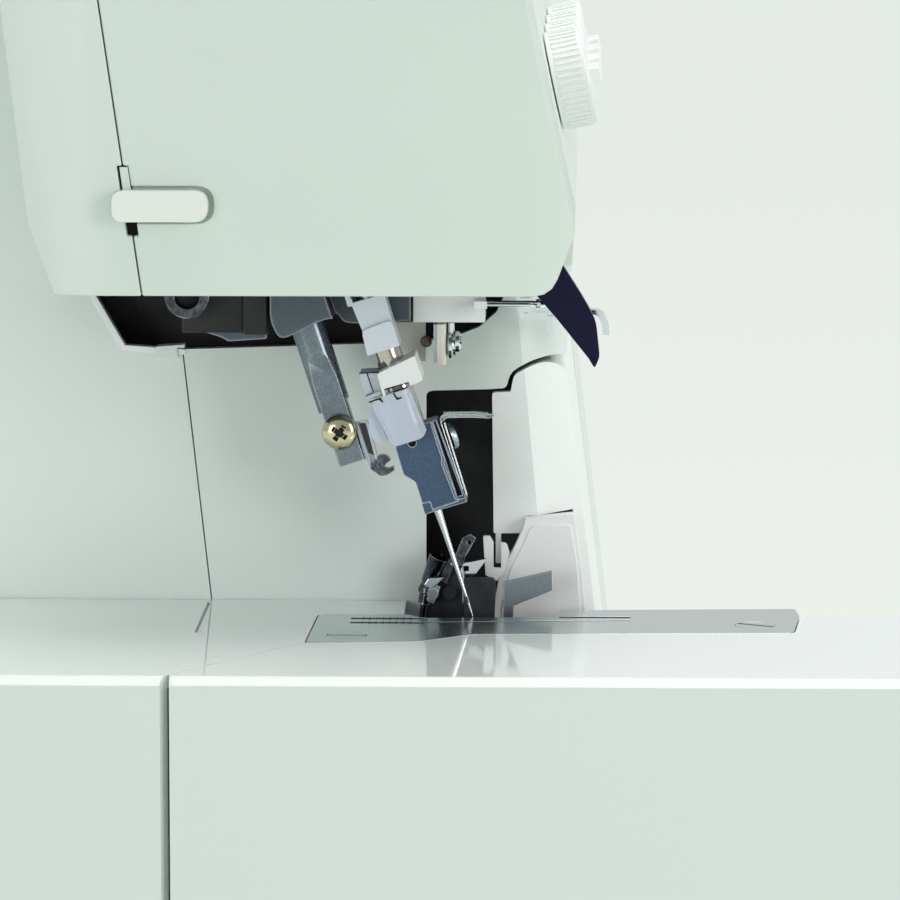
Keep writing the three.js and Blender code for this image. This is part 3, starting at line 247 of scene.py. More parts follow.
@material("head_cover")
def _(tree):
    # Satin ABS of the sewing head, a shade greener than the body.
    return moulded(tree, "#cbd9d0", "#c6d4cb", 0.34)


@material("bed_gloss")
def _(tree):
    # Polished ABS bed: mirrors the wall behind it, with the odd hairline rub and duller edges, and painted shade that
    # makes its sides darker than its top.
    place = coordinates(tree, (1, 9, 1))
    hair = noise(tree, place, 900, 4, 0.7)
    wave = noise(tree, coordinates(tree), 14, 1)
    facing = node(tree, "ShaderNodeTexCoord").outputs["Normal"]
    up = node(tree, "ShaderNodeSeparateXYZ", {0: facing}).outputs["Z"]
    top = spread(tree, up, 0, 1, 0.88, 0.99)
    near_edge = edge_mask(tree, 0.0016)
    parts = moulded(tree, "#dfe9e3", "#dbe5df", 0.07, 0.0000006)
    polish = spread(tree, hair, 0.05, 0.11)
    # Painted shade: faces turned away from straight up get a darker base colour than the top.
    parts["Base Color"] = tint(tree, top, "#cfdad3", "#eaf3ee")
    parts["Roughness"] = node(tree, "ShaderNodeMix", {"Factor": near_edge, "A": polish, "B": 0.45}).outputs["Result"]
    parts["Coat Weight"] = spread(tree, near_edge, 0.4, 0.0, 0.0, 0.5)
    parts["Coat Roughness"] = 0.03
    parts["Coat Normal"] = bumped(tree, wave, 0.00002)
    return parts


@material("lever_cap")
def _(tree):
    # Moulded cap of the threader lever, soft and slightly creamy.
    return moulded(tree, "#dde4dc", "#d7dfd7", 0.34)


@material("white_plastic")
def _(tree):
    # Nylon and acetal fittings: near white and slightly waxy.
    parts = moulded(tree, "#eef2ef", "#e7ecea", 0.34)
    parts["Subsurface Weight"] = 0.12
    parts["Subsurface Radius"] = (0.002, 0.002, 0.002)
    parts["Subsurface Scale"] = 0.5
    return parts


@material("clear_plastic")
def _(tree):
    # Thin translucent polycarbonate with a cool cast.
    parts = moulded(tree, "#e0e9f5", "#d7e3f1", 0.22)
    parts["Transmission Weight"] = 0.35
    return parts


@material("grey_plastic")
def _(tree):
    # Satin mid-grey ABS of the dials.
    return moulded(tree, "#66707a", "#5c6670", 0.38)


@material("black_plastic")
def _(tree):
    # Glass-filled black nylon with a dull grain.
    return moulded(tree, "#17191d", "#0f1114", 0.42, 0.00001)


@material("rubber_black")
def _(tree):
    # Soft black rubber: dusty and matt.
    place = coordinates(tree)
    dust = noise(tree, place, 160, 5, 0.7)
    return {"Base Color": tint(tree, spread(tree, dust, 0, 1), "#1c1e22", "#303236"), "Roughness": 0.85, "IOR": 1.45,
            "Normal": bumped(tree, noise(tree, place, 1800), 0.00002)}


@material("black_frame")
def _(tree):
    # Cast iron under black stove paint; its near-black partly stands for painted shade in the dark depths of the
    # machine, and its edges carry a painted highlight.
    place = coordinates(tree)
    near_edge = edge_mask(tree, 0.0006)
    # Painted highlight: the base colour turns paler near sharp edges.
    return {"Base Color": tint(tree, near_edge, "#0e1013", "#2a2d32"), "Roughness": spread(tree, noise(tree, place, 90), 0.4, 0.6),
            "IOR": 1.5, "Normal": bumped(tree, noise(tree, place, 700, 4), 0.00006)}


@material("navy_gloss")
def _(tree):
    # Gloss blue-black enamel with fine dust specks.
    place = coordinates(tree)
    speck = node(tree, "ShaderNodeTexVoronoi", {"Vector": place, "Scale": 1500.0}).outputs["Distance"]
    dots = spread(tree, speck, 1, 0, 0.05, 0.12)
    return {"Base Color": tint(tree, dots, "#141530", "#34364c"), "Roughness": spread(tree, noise(tree, place, 60), 0.2, 0.3),
            "IOR": 1.5, "Specular IOR Level": 0.12, "Normal": bumped(tree, noise(tree, place, 800), 0.000006)}


@material("cast_metal")
def _(tree):
    # Aluminium die casting: sandy skin, with a painted highlight along its edges.
    place = coordinates(tree)
    sand = noise(tree, place, 1500, 4, 0.65)
    near_edge = edge_mask(tree, 0.0009)
    return {"Base Color": tint(tree, near_edge, "#59636a", "#a8b2b6"), "Metallic": 0.9,
            "Roughness": spread(tree, sand, 0.42, 0.62), "Normal": bumped(tree, sand, 0.00009)}


@material("zinc_clamp")
def _(tree):
    # Bead-blasted zinc: soft blue-grey grain, with a painted highlight along its edges.
    place = coordinates(tree)
    beads = noise(tree, place, 2600, 4, 0.7)
    near_edge = edge_mask(tree, 0.0004)
    mottled = tint(tree, spread(tree, beads, 0, 1), "#3f5269", "#596c84")
    color = node(tree, "ShaderNodeMix", {"Factor": near_edge, "A": mottled, "B": linear("#e2ebf2")}, data_type="RGBA")
    return {"Base Color": color.outputs["Result"], "Metallic": 0.92, "Roughness": spread(tree, beads, 0.34, 0.5),
            "Normal": bumped(tree, beads, 0.00005)}


def brushed(tree, light, dark, stretch, rough):
    """Ground steel: fine lines along one axis, shown in colour, shine and relief."""
    lines = noise(tree, coordinates(tree, stretch), 1400, 5, 0.75)
    near_edge = edge_mask(tree, 0.0004)
    base = tint(tree, spread(tree, lines, 0, 1), light, dark)
    # Painted highlight: the base colour turns near white along sharp edges.
    color = node(tree, "ShaderNodeMix", {"Factor": near_edge, "A": base, "B": linear("#e8eef2")}, data_type="RGBA")
    return {"Base Color": color.outputs["Result"], "Metallic": 1.0,
            "Roughness": spread(tree, lines, rough, rough + 0.12), "Normal": bumped(tree, lines, 0.000006)}


@material("satin_steel")
def _(tree):
    # Ground and polished steel, lines running up the part.
    return brushed(tree, "#b7c2cc", "#98a5b1", (4, 4, 0.15), 0.22)


@material("plate_steel")
def _(tree):
    # The needle plate: satin-ground stainless, lines running front to back.
    return brushed(tree, "#ccd8d6", "#bfcbcb", (5, 0.2, 5), 0.16)


@material("dark_steel")
def _(tree):
    # Blued tool steel of the knives and presser parts.
    return brushed(tree, "#a0abb0", "#87929a", (3, 3, 0.3), 0.28)


def polished(tree, color, rough):
    """Polished plating: faint haze and fingertip smears."""
    place = coordinates(tree)
    haze = noise(tree, place, 220, 5, 0.7)
    return {"Base Color": linear(color), "Metallic": 1.0, "Roughness": spread(tree, haze, rough, rough + 0.07),
            "Normal": bumped(tree, noise(tree, place, 900), 0.000002)}


@material("bright_steel")
def _(tree):
    # Chromed and polished steel.
    return polished(tree, "#dfe5ea", 0.07)


@material("nickel_screw")
def _(tree):
    # Nickel over brass: warm yellow cast in the shine.
    return polished(tree, "#cfc8a6", 0.12)


@material("bar_chrome")
def _(tree):
    # Hard-chromed ground bar: faint rings of grinding and a warm edge to its reflections.
    rings = noise(tree, coordinates(tree, (0.4, 0.4, 6)), 1500, 3, 0.6)
    return {"Base Color": tint(tree, spread(tree, rings, 0, 1), "#c9c4b8", "#b3b2ae"), "Metallic": 1.0,
            "Roughness": spread(tree, rings, 0.08, 0.16), "Normal": bumped(tree, rings, 0.0000015)}


@material("dark_chrome")
def _(tree):
    # Black-chromed hardened steel: mirror dark, with pale haze where oil has dried, and a painted highlight along its
    # edges.
    place = coordinates(tree)
    haze = noise(tree, place, 500, 5, 0.75)
    near_edge = edge_mask(tree, 0.0003)
    base = tint(tree, spread(tree, haze, 0, 1, 0.45, 0.75), "#43464c", "#7b7f86")
    color = node(tree, "ShaderNodeMix", {"Factor": near_edge, "A": base, "B": linear("#d4dae0")}, data_type="RGBA")
    return {"Base Color": color.outputs["Result"], "Metallic": 1.0, "Roughness": spread(tree, haze, 0.1, 0.28),
            "Normal": bumped(tree, noise(tree, place, 700), 0.000008)}


@material("presser_steel")
def _(tree):
    # Oiled ground steel, dark on its flats, with a painted highlight along its edges.
    lines = noise(tree, coordinates(tree), 1900, 5, 0.7)
    cloud = noise(tree, coordinates(tree), 90, 3, 0.6)
    near_edge = edge_mask(tree, 0.0005)
    mixed = node(tree, "ShaderNodeMath", {0: lines, 1: cloud}, operation="MULTIPLY").outputs[0]
    base = tint(tree, spread(tree, mixed, 0, 1, 0.15, 0.38), "#626c75", "#828d96")
    color = node(tree, "ShaderNodeMix", {"Factor": near_edge, "A": base, "B": linear("#e3e9ee")}, data_type="RGBA")
    return {"Base Color": color.outputs["Result"], "Metallic": 1.0, "Roughness": spread(tree, lines, 0.2, 0.34),
            "Normal": bumped(tree, lines, 0.000004)}


@material("blued_plate")
def _(tree):
    # Hardened plate with an oily grey-black skin.
    place = coordinates(tree)
    skin = noise(tree, place, 260, 4, 0.7)
    return {"Base Color": tint(tree, spread(tree, skin, 0, 1), "#25272a", "#34373b"), "Metallic": 0.4,
            "Roughness": spread(tree, skin, 0.4, 0.55), "Normal": bumped(tree, noise(tree, place, 1500), 0.000008)}


@material("navy_teeth")
def _(tree):
    # Case-hardened feed teeth, blue-black from the quench.
    place = coordinates(tree)
    return {"Base Color": tint(tree, spread(tree, noise(tree, place, 700), 0, 1), "#1e2438", "#39435a"), "Metallic": 0.7,
            "Roughness": 0.38, "Normal": bumped(tree, noise(tree, place, 1500), 0.000008)}


@material("shadow")
def _(tree):
    # Painted shade: the unlit depth of a bore or a joint, oily black.
    place = coordinates(tree)
    return {"Base Color": linear("#08090b"), "Roughness": spread(tree, noise(tree, place, 300), 0.5, 0.8),
            "Normal": bumped(tree, noise(tree, place, 900), 0.00001)}


@material("smoked")
def _(tree):
    # Dark browned steel with a lacquer shine.
    place = coordinates(tree)
    return {"Base Color": tint(tree, spread(tree, noise(tree, place, 400), 0, 1), "#1c1512", "#2a211c"),
            "Roughness": spread(tree, noise(tree, place, 200), 0.25, 0.4), "Coat Weight": 0.4,
            "Normal": bumped(tree, noise(tree, place, 900), 0.000006)}


@material("milky_plastic")
def _(tree):
    # Natural nylon: white, cool in its shaded depth, waxy.
    parts = moulded(tree, "#e3e9f0", "#d6e0ea", 0.3)
    parts["Subsurface Weight"] = 0.25
    parts["Subsurface Radius"] = (0.001, 0.0014, 0.002)
    parts["Subsurface Scale"] = 0.6
    return parts


@material("cream_plastic")
def _(tree):
    # Aged cream acetal.
    return moulded(tree, "#e2e3d9", "#d8d8cb", 0.36)


@material("old_screw")
def _(tree):
    # Zinc-plated screw gone to rust in patches.
    place = coordinates(tree)
    rust = spread(tree, noise(tree, place, 900, 4, 0.7), 0, 1, 0.4, 0.6)
    return {"Base Color": tint(tree, rust, "#8f8c86", "#6b4630"), "Metallic": 0.6, "Roughness": 0.5,
            "Normal": bumped(tree, noise(tree, place, 2000), 0.00003)}


# ---- Shapes ----------------------------------------------------------------------------------

UPRIGHT = Matrix.Translation(NEEDLE) @ Matrix.Scale(0.001, 4)
LEANING = Matrix.Translation(NEEDLE) @ Matrix.Rotation(-TILT, 4, "X") @ Matrix.Scale(0.001, 4)


def rounded(points, steps=5):
    """Turns [u, v] and [u, v, radius] corners into plain points."""
    out = []
    count = len(points)
    for i, point in enumerate(points):
        here = Vector(point[:2])
        radius = point[2] if len(point) > 2 else 0
        if radius == 0:
            out.append(here)
            continue
        before = Vector(points[i - 1][:2]) - here
        after = Vector(points[(i + 1) % count][:2]) - here
        reach = min(radius, 0.48 * before.length, 0.48 * after.length)
        start, end = here + before.normalized() * reach, here + after.normalized() * reach
        for k in range(steps + 1):
            t = k / steps
            out.append(start * (1 - t) ** 2 + here * 2 * t * (1 - t) + end * t * t)
    return out


def prism(axis, points, low, high):
    """A prism along an axis: points are [y, z] along x, [x, z] along y and [x, y] along z."""
    flat = rounded(points)
    lift = {"x": lambda p, h: (h, p.x, p.y), "y": lambda p, h: (p.x, h, p.y), "z": lambda p, h: (p.x, p.y, h)}[axis]
    n = len(flat)
    verts = [lift(p, low) for p in flat] + [lift(p, high) for p in flat]
    faces = [tuple(range(n)), tuple(range(2 * n - 1, n - 1, -1))]
    faces += [(i, n + i, n + (i + 1) % n, (i + 1) % n) for i in range(n)]
    return verts, faces


def block(x0, x1, y0, y1, z0, z1):
    return prism("z", [(x0, y0), (x1, y0), (x1, y1), (x0, y1)], z0, z1)


def turned(profile, start, direction, steps=40):
    """A body turned about an axis: profile holds (distance along it, radius)."""
    turn = Vector(direction).normalized().to_track_quat("Z", "Y").to_matrix()
    verts, faces = [], []
    rings = [(h, r) for h, r in profile if r > 0]
    for h, r in rings:
        for i in range(steps):
            a = 2 * math.pi * i / steps
            verts.append(Vector(start) + turn @ Vector((r * math.cos(a), r * math.sin(a), h)))
    for k in range(len(rings) - 1):
        for i in range(steps):
            j = (i + 1) % steps
            faces.append((k * steps + i, k * steps + j, (k + 1) * steps + j, (k + 1) * steps + i))
    faces.append(tuple(reversed(range(steps))))
    faces.append(tuple(range((len(rings) - 1) * steps, len(rings) * steps)))
    return verts, faces


def rod(start, end, radius, steps=32):
    length = (Vector(end) - Vector(start)).length
    return turned([(0, radius), (length, radius)], start, Vector(end) - Vector(start), steps)


def wire(path, radius, steps=12):
    """A bent wire through the points of a path, with smooth corners."""
    points = [Vector(p) for p in path]
    verts, faces = [], []
    side = None
    for i, point in enumerate(points):
        ahead = (points[min(i + 1, len(points) - 1)] - points[max(i - 1, 0)]).normalized()
        if side is None:
            side = ahead.orthogonal().normalized()
        side = (side - ahead * side.dot(ahead)).normalized()
        other = ahead.cross(side)
        for k in range(steps):
            a = 2 * math.pi * k / steps
            verts.append(point + (side * math.cos(a) + other * math.sin(a)) * radius)
    for i in range(len(points) - 1):
        for k in range(steps):
            j = (k + 1) % steps
            faces.append((i * steps + k, i * steps + j, (i + 1) * steps + j, (i + 1) * steps + k))
    faces.append(tuple(reversed(range(steps))))
    faces.append(tuple(range((len(points) - 1) * steps, len(points) * steps)))
    return verts, faces


def arc(center, radius, start, end, steps, plane="xy"):
    """Points on a circle: angles in degrees."""
    out = []
    for i in range(steps + 1):
        a = math.radians(start + (end - start) * i / steps)
        u, v = radius * math.cos(a), radius * math.sin(a)
        out.append(Vector(center) + Vector({"xy": (u, v, 0), "yz": (0, u, v), "xz": (u, 0, v)}[plane]))
    return out


def loose(solid):
    mesh = bpy.data.meshes.new("solid")
    mesh.from_pydata([tuple(v) for v in solid[0]], [], solid[1])
    work = bmesh.new()
    work.from_mesh(mesh)
    bmesh.ops.recalc_face_normals(work, faces=work.faces)
    work.to_mesh(mesh)
    work.free()
    piece = bpy.data.objects.new("solid", mesh)
    bpy.context.scene.collection.objects.link(piece)
    return piece


def soften(piece, width, segments=3):
    """Rounds the sharp edges and shades the rest smooth."""
    piece.data.shade_smooth()
    weld = piece.modifiers.new("weld", "WELD")
    weld.merge_threshold = 0.000002
    flat = piece.modifiers.new("flat", "DECIMATE")
    flat.decimate_type = "DISSOLVE"
    flat.angle_limit = math.radians(1)
    edge = piece.modifiers.new("edge", "BEVEL")
    edge.width = width / 1000
    edge.segments = segments
    edge.limit_method = "ANGLE"
    edge.angle_limit = math.radians(35)
    edge.use_clamp_overlap = True
    edge.harden_normals = True


def shaped(solids, cuts=()):
    """A mesh of solids joined together, with others cut away."""
    objects = [loose(s) for s in solids]
    cutters = [loose(c) for c in cuts]
    base = objects[0]
    for other, how in [(o, "UNION") for o in objects[1:]] + [(c, "DIFFERENCE") for c in cutters]:
        step = base.modifiers.new("step", "BOOLEAN")
        step.object = other
        step.operation = how
        step.solver = "EXACT"
    bpy.context.view_layer.update()
    mesh = bpy.data.meshes.new_from_object(base.evaluated_get(bpy.context.evaluated_depsgraph_get()))
    for o in objects + cutters:
        bpy.data.objects.remove(o)
    return mesh


def part(name, body, look, solids, cuts=(), place=UPRIGHT, edge=None, stands_for=()):
    """Joins solids, cuts others away and hangs the result on a body."""
    mesh = shaped(solids, cuts)
    mesh.transform(place)
    return hang(mesh, name, body, look, edge, stands_for)


def hang(mesh, name, body, look, edge=None, stands_for=()):
    """Gives a finished mesh its material and soft edges, and hangs it on a body."""
    mesh.name = name.replace(" ", "_") + "_detail"
    piece = bpy.data.objects.new(mesh.name, mesh)
    bpy.context.scene.collection.objects.link(piece)
    mesh.materials.clear()
    mesh.materials.append(MATERIALS[look])
    soften(piece, EDGE[look] if edge is None else edge)
    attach(piece, body)
    if stands_for:
        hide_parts(*stands_for)
    return piece


def repeat_tree(name, round_ring):
    """Copies of one piece in a row or around a ring, as real geometry with its material."""
    tree = bpy.data.node_groups.new(name, "GeometryNodeTree")
    tree.interface.new_socket("Geometry", in_out="OUTPUT", socket_type="NodeSocketGeometry")
    for label, kind in [("Piece", "Object"), ("Material", "Material"), ("Count", "Int"), ("Radius", "Float"),
                        ("Start", "Vector"), ("Step", "Vector")]:
        tree.interface.new_socket(label, in_out="INPUT", socket_type="NodeSocket" + kind)
    given = tree.nodes.new("NodeGroupInput").outputs
    copy = node(tree, "GeometryNodeObjectInfo", {"Object": given["Piece"]}).outputs["Geometry"]
    if round_ring:
        points = node(tree, "GeometryNodeMeshCircle", {"Vertices": given["Count"], "Radius": given["Radius"]})
        place = node(tree, "GeometryNodeInputPosition").outputs[0]
        turn = node(tree, "FunctionNodeAlignRotationToVector", {"Vector": place}, axis="X", pivot_axis="Z")
        spots = node(tree, "GeometryNodeInstanceOnPoints", {"Points": points.outputs["Mesh"], "Instance": copy,
                                                            "Rotation": turn.outputs[0]})
    else:
        points = node(tree, "GeometryNodeMeshLine", {"Count": given["Count"], "Start Location": given["Start"],
                                                     "Offset": given["Step"]}, mode="OFFSET")
        spots = node(tree, "GeometryNodeInstanceOnPoints", {"Points": points.outputs["Mesh"], "Instance": copy})
    real = node(tree, "GeometryNodeRealizeInstances", {"Geometry": spots.outputs[0]})
    done = node(tree, "GeometryNodeSetMaterial", {"Geometry": real.outputs[0], "Material": given["Material"]})
    node(tree, "NodeGroupOutput", {"Geometry": done.outputs[0]})
    return tree


ROW, RING = repeat_tree("row", False), repeat_tree("ring", True)


def repeat(name, body, look, tree, solids, cuts=(), place=UPRIGHT, edge=0.1, **values):
    """Runs a repeat tree on one small piece and hangs the copies on a body."""
    sample = bpy.data.objects.new("sample", shaped(solids, cuts))
    holder = bpy.data.objects.new("holder", bpy.data.meshes.new("holder"))
    bpy.context.scene.collection.objects.link(holder)
    run = holder.modifiers.new("repeat", "NODES")
    run.node_group = tree
    for socket in tree.interface.items_tree:
        if socket.in_out == "INPUT" and socket.name in values:
            run[socket.identifier] = values[socket.name]
        elif socket.name == "Piece":
            run[socket.identifier] = sample
        elif socket.name == "Material":
            run[socket.identifier] = MATERIALS[look]
    bpy.context.view_layer.update()
    mesh = bpy.data.meshes.new_from_object(holder.evaluated_get(bpy.context.evaluated_depsgraph_get()))
    bpy.data.objects.remove(holder)
    bpy.data.objects.remove(sample)
    mesh.transform(place)
    return hang(mesh, name, body, look, edge)


# ---- Looks for the fixed nodes ---------------------------------------------------------------

SPECIAL = {
    "threader_lever": "lever_cap",
    "base_pan": "head_cover", "thread_guide_bar": "white_plastic", "handwheel": "grey_plastic",
    "feed_dog_main": "navy_teeth", "feed_dog_differential": "navy_teeth",
    "face_cover": "head_cover", "head_rear_cover": "head_cover",
    "bed_cover": "bed_gloss", "cloth_plate_door": "bed_gloss", "needle_plate": "plate_steel",
    "plate_screw_1": "plate_steel", "plate_screw_2": "plate_steel", "upper_knife": "dark_steel",
    "lower_knife": "blued_plate",
}
EDGE = {"cover_shell": 1.0, "cover_light": 0.8, "head_cover": 1.4, "bed_gloss": 0.7, "lever_cap": 2.4, "plate_steel": 0.15, "bright_steel": 0.12,
        "nickel_screw": 0.2, "satin_steel": 0.25, "dark_steel": 0.2, "zinc_clamp": 0.3, "white_plastic": 0.35,
        "clear_plastic": 0.4, "navy_gloss": 0.5, "cast_metal": 0.9, "rubber_black": 0.8, "black_plastic": 0.4,
        "black_frame": 0.6, "grey_plastic": 0.6, "bar_chrome": 0.12, "dark_chrome": 0.15, "presser_steel": 0.12, "blued_plate": 0.3, "navy_teeth": 0.08, "shadow": 0.02, "smoked": 0.08,
        "milky_plastic": 0.3, "cream_plastic": 0.3, "old_screw": 0.1}


def dress(name, slot):
    """Material, softened edges and smooth shading for a CAD node."""
    piece = nodes[name]
    look = SPECIAL.get(name, slot)
    piece.data.materials.clear()
    piece.data.materials.append(MATERIALS[look])
    custom = piece.data.attributes.get("custom_normal")
    if custom:
        piece.data.attributes.remove(custom)
    soften(piece, EDGE[look])


for entry in frame["record"]["subparts"]:
    dress(entry["node"], entry["material_slot"])

# ---- Presser bar -----------------------------------------------------------------------------

def presser_bar():
    y = 15.5
    bar = rod((0, y, 43.65), (0, y, 137.9), 4, 48)
    # The flat starts in a long arch and the sides are milled off below it.
    flat = prism("y", [(-9, 40), (-2.7, 40), (-2.7, 64), (-3.3, 69.5), (-4.4, 73.5), (-9, 74)], y - 8, y + 8)
    sides = [block(-9, 9, y + 3.1, y + 9, 40, 57), block(-9, 9, y - 9, y - 3.3, 40, 58.5)]
    part("presser bar", "presser", "presser_steel", [bar], [flat, *sides], LEANING, 0.12, ["presser_bar"])


def presser_screw():
    # Domed head with a cross recess, on the flat of the bar.
    aim = Vector((-1, 0.03, 0.02)).normalized()
    seat = Vector((-2.75, 15.95, 51.7))
    dome = [(0, 4.1), (0.9, 4.15)] + [(0.9 + 1.75 * math.sin(a), 4.15 * math.cos(a) ** 0.8 + 0.02)
                                      for a in [math.radians(d) for d in (12, 25, 38, 51, 64, 76, 85)]]
    head = turned(dome, seat, aim, 56)
    turn = Matrix.Translation(seat) @ Matrix.Rotation(math.radians(52), 4, "X")
    wings = []
    for quarter in range(2):
        spin = turn @ Matrix.Rotation(math.radians(90 * quarter), 4, "X")
        verts, faces = prism("y", [(-3.6, -2.55), (-3.6, 2.55), (-0.9, 1.3), (-0.9, -1.3)], -0.62, 0.62)
        wings.append(([spin @ Vector(v) for v in verts], faces))
    part("presser screw", "presser", "nickel_screw", [head], wings, LEANING, 0.1, ["presser_screw"])
    # A near-black disc of painted shade at the bottom of the cross recess.
    floor = turned([(0.85, 1.25), (0.95, 1.25)], seat, aim, 24)
    part("screw recess", "presser", "shadow", [floor], place=LEANING, edge=0.02)


def foot_catch():
    plate = prism("x", [(12.35, 52.4), (12.1, 45.2), (11.6, 39.9), (9.6, 41.9), (9.2, 51.8), (11.3, 52.4)], 0.4, 1.6)
    lip = prism("x", [(9.1, 51.7), (9.6, 51.8), (10.0, 42.6), (9.55, 41.9)], -1.6, 1.6)
    back = prism("x", [(11.4, 52.2), (11.9, 52.2), (12.4, 45.0), (11.9, 40.0), (11.4, 43.2)], -1.6, 1.6)
    part("foot catch plate", "presser", "satin_steel", [plate, lip, back], place=LEANING, edge=0.08,
         stands_for=["foot_catch"])
    panel = prism("x", [(9.7, 51.4), (11.3, 51.9), (11.3, 44.6), (10.3, 43.6)], 0.1, 0.4)
    part("foot catch panel", "presser", "smoked", [panel], place=LEANING, edge=0.05)
    hook = prism("x", [(12.0, 41.3), (10.6, 42.3, .4), (8.9, 43.6, .5), (7.3, 43.1, .8), (6.6, 41.6, .3), (7.7, 41.3), (8.7, 40.6),
                       (7.9, 39.9), (6.6, 40.0, .2), (6.5, 39.1, .5), (8.4, 38.5, .8), (10.2, 38.7, .6)], -2.2, 0.2)
    bore = prism("x", [(8.9, 42.6, .4), (9.8, 42.2, .4), (9.9, 41.2, .4), (9.0, 41.2, .4)], -2.4, -1.4)
    part("foot catch hook", "presser", "dark_chrome", [hook], [bore], LEANING, 0.15)


# ---- Needle bar set --------------------------------------------------------------------------

def needle_clamp():
    body = prism("x", [(-6.6, 47.6, .5), (-7.5, 27.1, .25), (2.75, 27.3, .3), (2.66, 35.2, .6), (4.8, 37.6, .6), (4.63, 44.2, .4),
                       (3.4, 47.7, .3)], -4.1, 4.1)
    rim = prism("x", [(-5.45, 47.5), (-5.0, 47.5), (-4.95, 38.6), (-4.5, 37.4), (-5.0, 28.4), (-5.6, 28.2, .2), (-5.1, 37.3),
                      (-5.55, 38.3)], -4.75, -4.0)
    shelf = prism("x", [(-5.6, 28.3), (-7.45, 28.2), (-7.3, 27.1), (2.7, 27.3), (2.7, 27.75), (-5.5, 27.9)], -4.5, -4.0)
    tab = prism("x", [(0.8, 29.7, .2), (2.85, 30.0, .2), (2.9, 27.2, .2), (0.8, 27.3, .2)], -4.55, -4.0)
    channel = prism("x", [(-5.75, 49), (-5.6, 28.9), (-6.9, 28.9), (-6.2, 49)], -5, -2.2)
    hole = rod((-6, 0.55, 44.2), (-2.4, 0.55, 44.2), 0.95, 24)
    socket = rod((0, 0, 20), (0, 0, 41), 1.35, 24)
    part("needle clamp", "needle_drive", "zinc_clamp", [body, rim, shelf, tab], [channel, hole, socket], LEANING, 0.14,
         ["needle_clamp"])
    # Near-black painted shade inside the bore and the channel.
    part("clamp bore", "needle_drive", "shadow", [rod((-3.2, 0.55, 44.2), (-2.5, 0.55, 44.2), 0.93, 24)], place=LEANING,
         edge=0.02)
    part("clamp channel", "needle_drive", "shadow", [prism("x", [(-5.8, 47), (-5.65, 29), (-6.85, 29), (-6.25, 47)], -2.6, -2.3)],
         place=LEANING, edge=0.02)


def thread_guide():
    # Two folds of bright sheet beside the clamp, with the arm that ends in an eye.
    outer = prism("x", [(-7.95, 46.4), (-8.35, 46.6), (-8.05, 28.6), (-7.65, 28.6)], -4.6, 3.2)
    inner = prism("x", [(-7.25, 46.9), (-7.5, 46.9), (-7.45, 30.2), (-7.2, 30.2)], -4.4, 3)
    arm = prism("x", [(-7.25, 46.7), (-7.6, 48.1, .5), (-9.4, 48.7, .8), (-15.6, 46.7, 1), (-18.0, 45.4, .6), (-19.7, 44.9, .3),
                      (-19.8, 44.3, .2), (-18.4, 44.2, .3), (-15.4, 45.4, 1), (-9.2, 47.4, .8), (-8.0, 46.9, .3)], -4.6, -3.9)
    shelf = prism("x", [(-8.2, 47.6), (-8.3, 48.1), (-15.3, 46.0), (-18.2, 44.8), (-18.1, 44.4), (-15.2, 45.5)], -4.6, 3)
    slit = prism("x", [(-8.3, 48.2), (-9.5, 48.1), (-15.4, 46.1), (-17.6, 45.0), (-17.6, 44.7), (-15.3, 45.7),
                       (-9.4, 47.7), (-8.3, 47.6)], -5, -4.1)
    part("needle guide", "needle_drive", "bright_steel", [outer, inner], place=LEANING, edge=0.07,
         stands_for=["needle_thread_guide"])
    part("needle guide arm", "needle_drive", "presser_steel", [arm, shelf], [slit], LEANING, 0.07)
    screw = turned([(0, 2.9), (0.5, 3.1), (1.1, 2.9), (1.5, 2.0)], (-1.2, -8.1, 42.5), (0.25, -1, 0.05), 36)
    slot = block(-1.6, -0.9, -11, -9.15, 38, 47)
    part("clamp screw", "needle_drive", "satin_steel", [screw], [slot], LEANING, 0.12)


def needle_bar():
    bar = rod((0, -0.35, 48.1), (0, -0.35, 137.9), 3.2, 48)
    part("needle bar", "needle_drive", "bar_chrome", [bar], place=LEANING, edge=0.1, stands_for=["needle_bar"])
    # Blade with its long groove and eye, tapering to the point.
    blade = turned([(0.02, 0.05), (1.5, 0.22), (4, 0.34), (9, 0.4), (15, 0.48), (20, 0.62), (25, 0.84), (28, 0.98), (40, 1.02)], (0, 0, 0),
                   (0, 0, 1), 28)
    groove = block(-1.0, -0.34, -0.08, 0.08, 4.2, 14.5)
    eye = block(-1, 1, -0.16, 0.16, 3.6, 5.2)
    flat = block(0.72, 2, -2, 2, 23.5, 41)
    part("sewing needle", "needle_drive", "bright_steel", [blade], [groove, eye, flat], LEANING, 0.04, ["needle"])


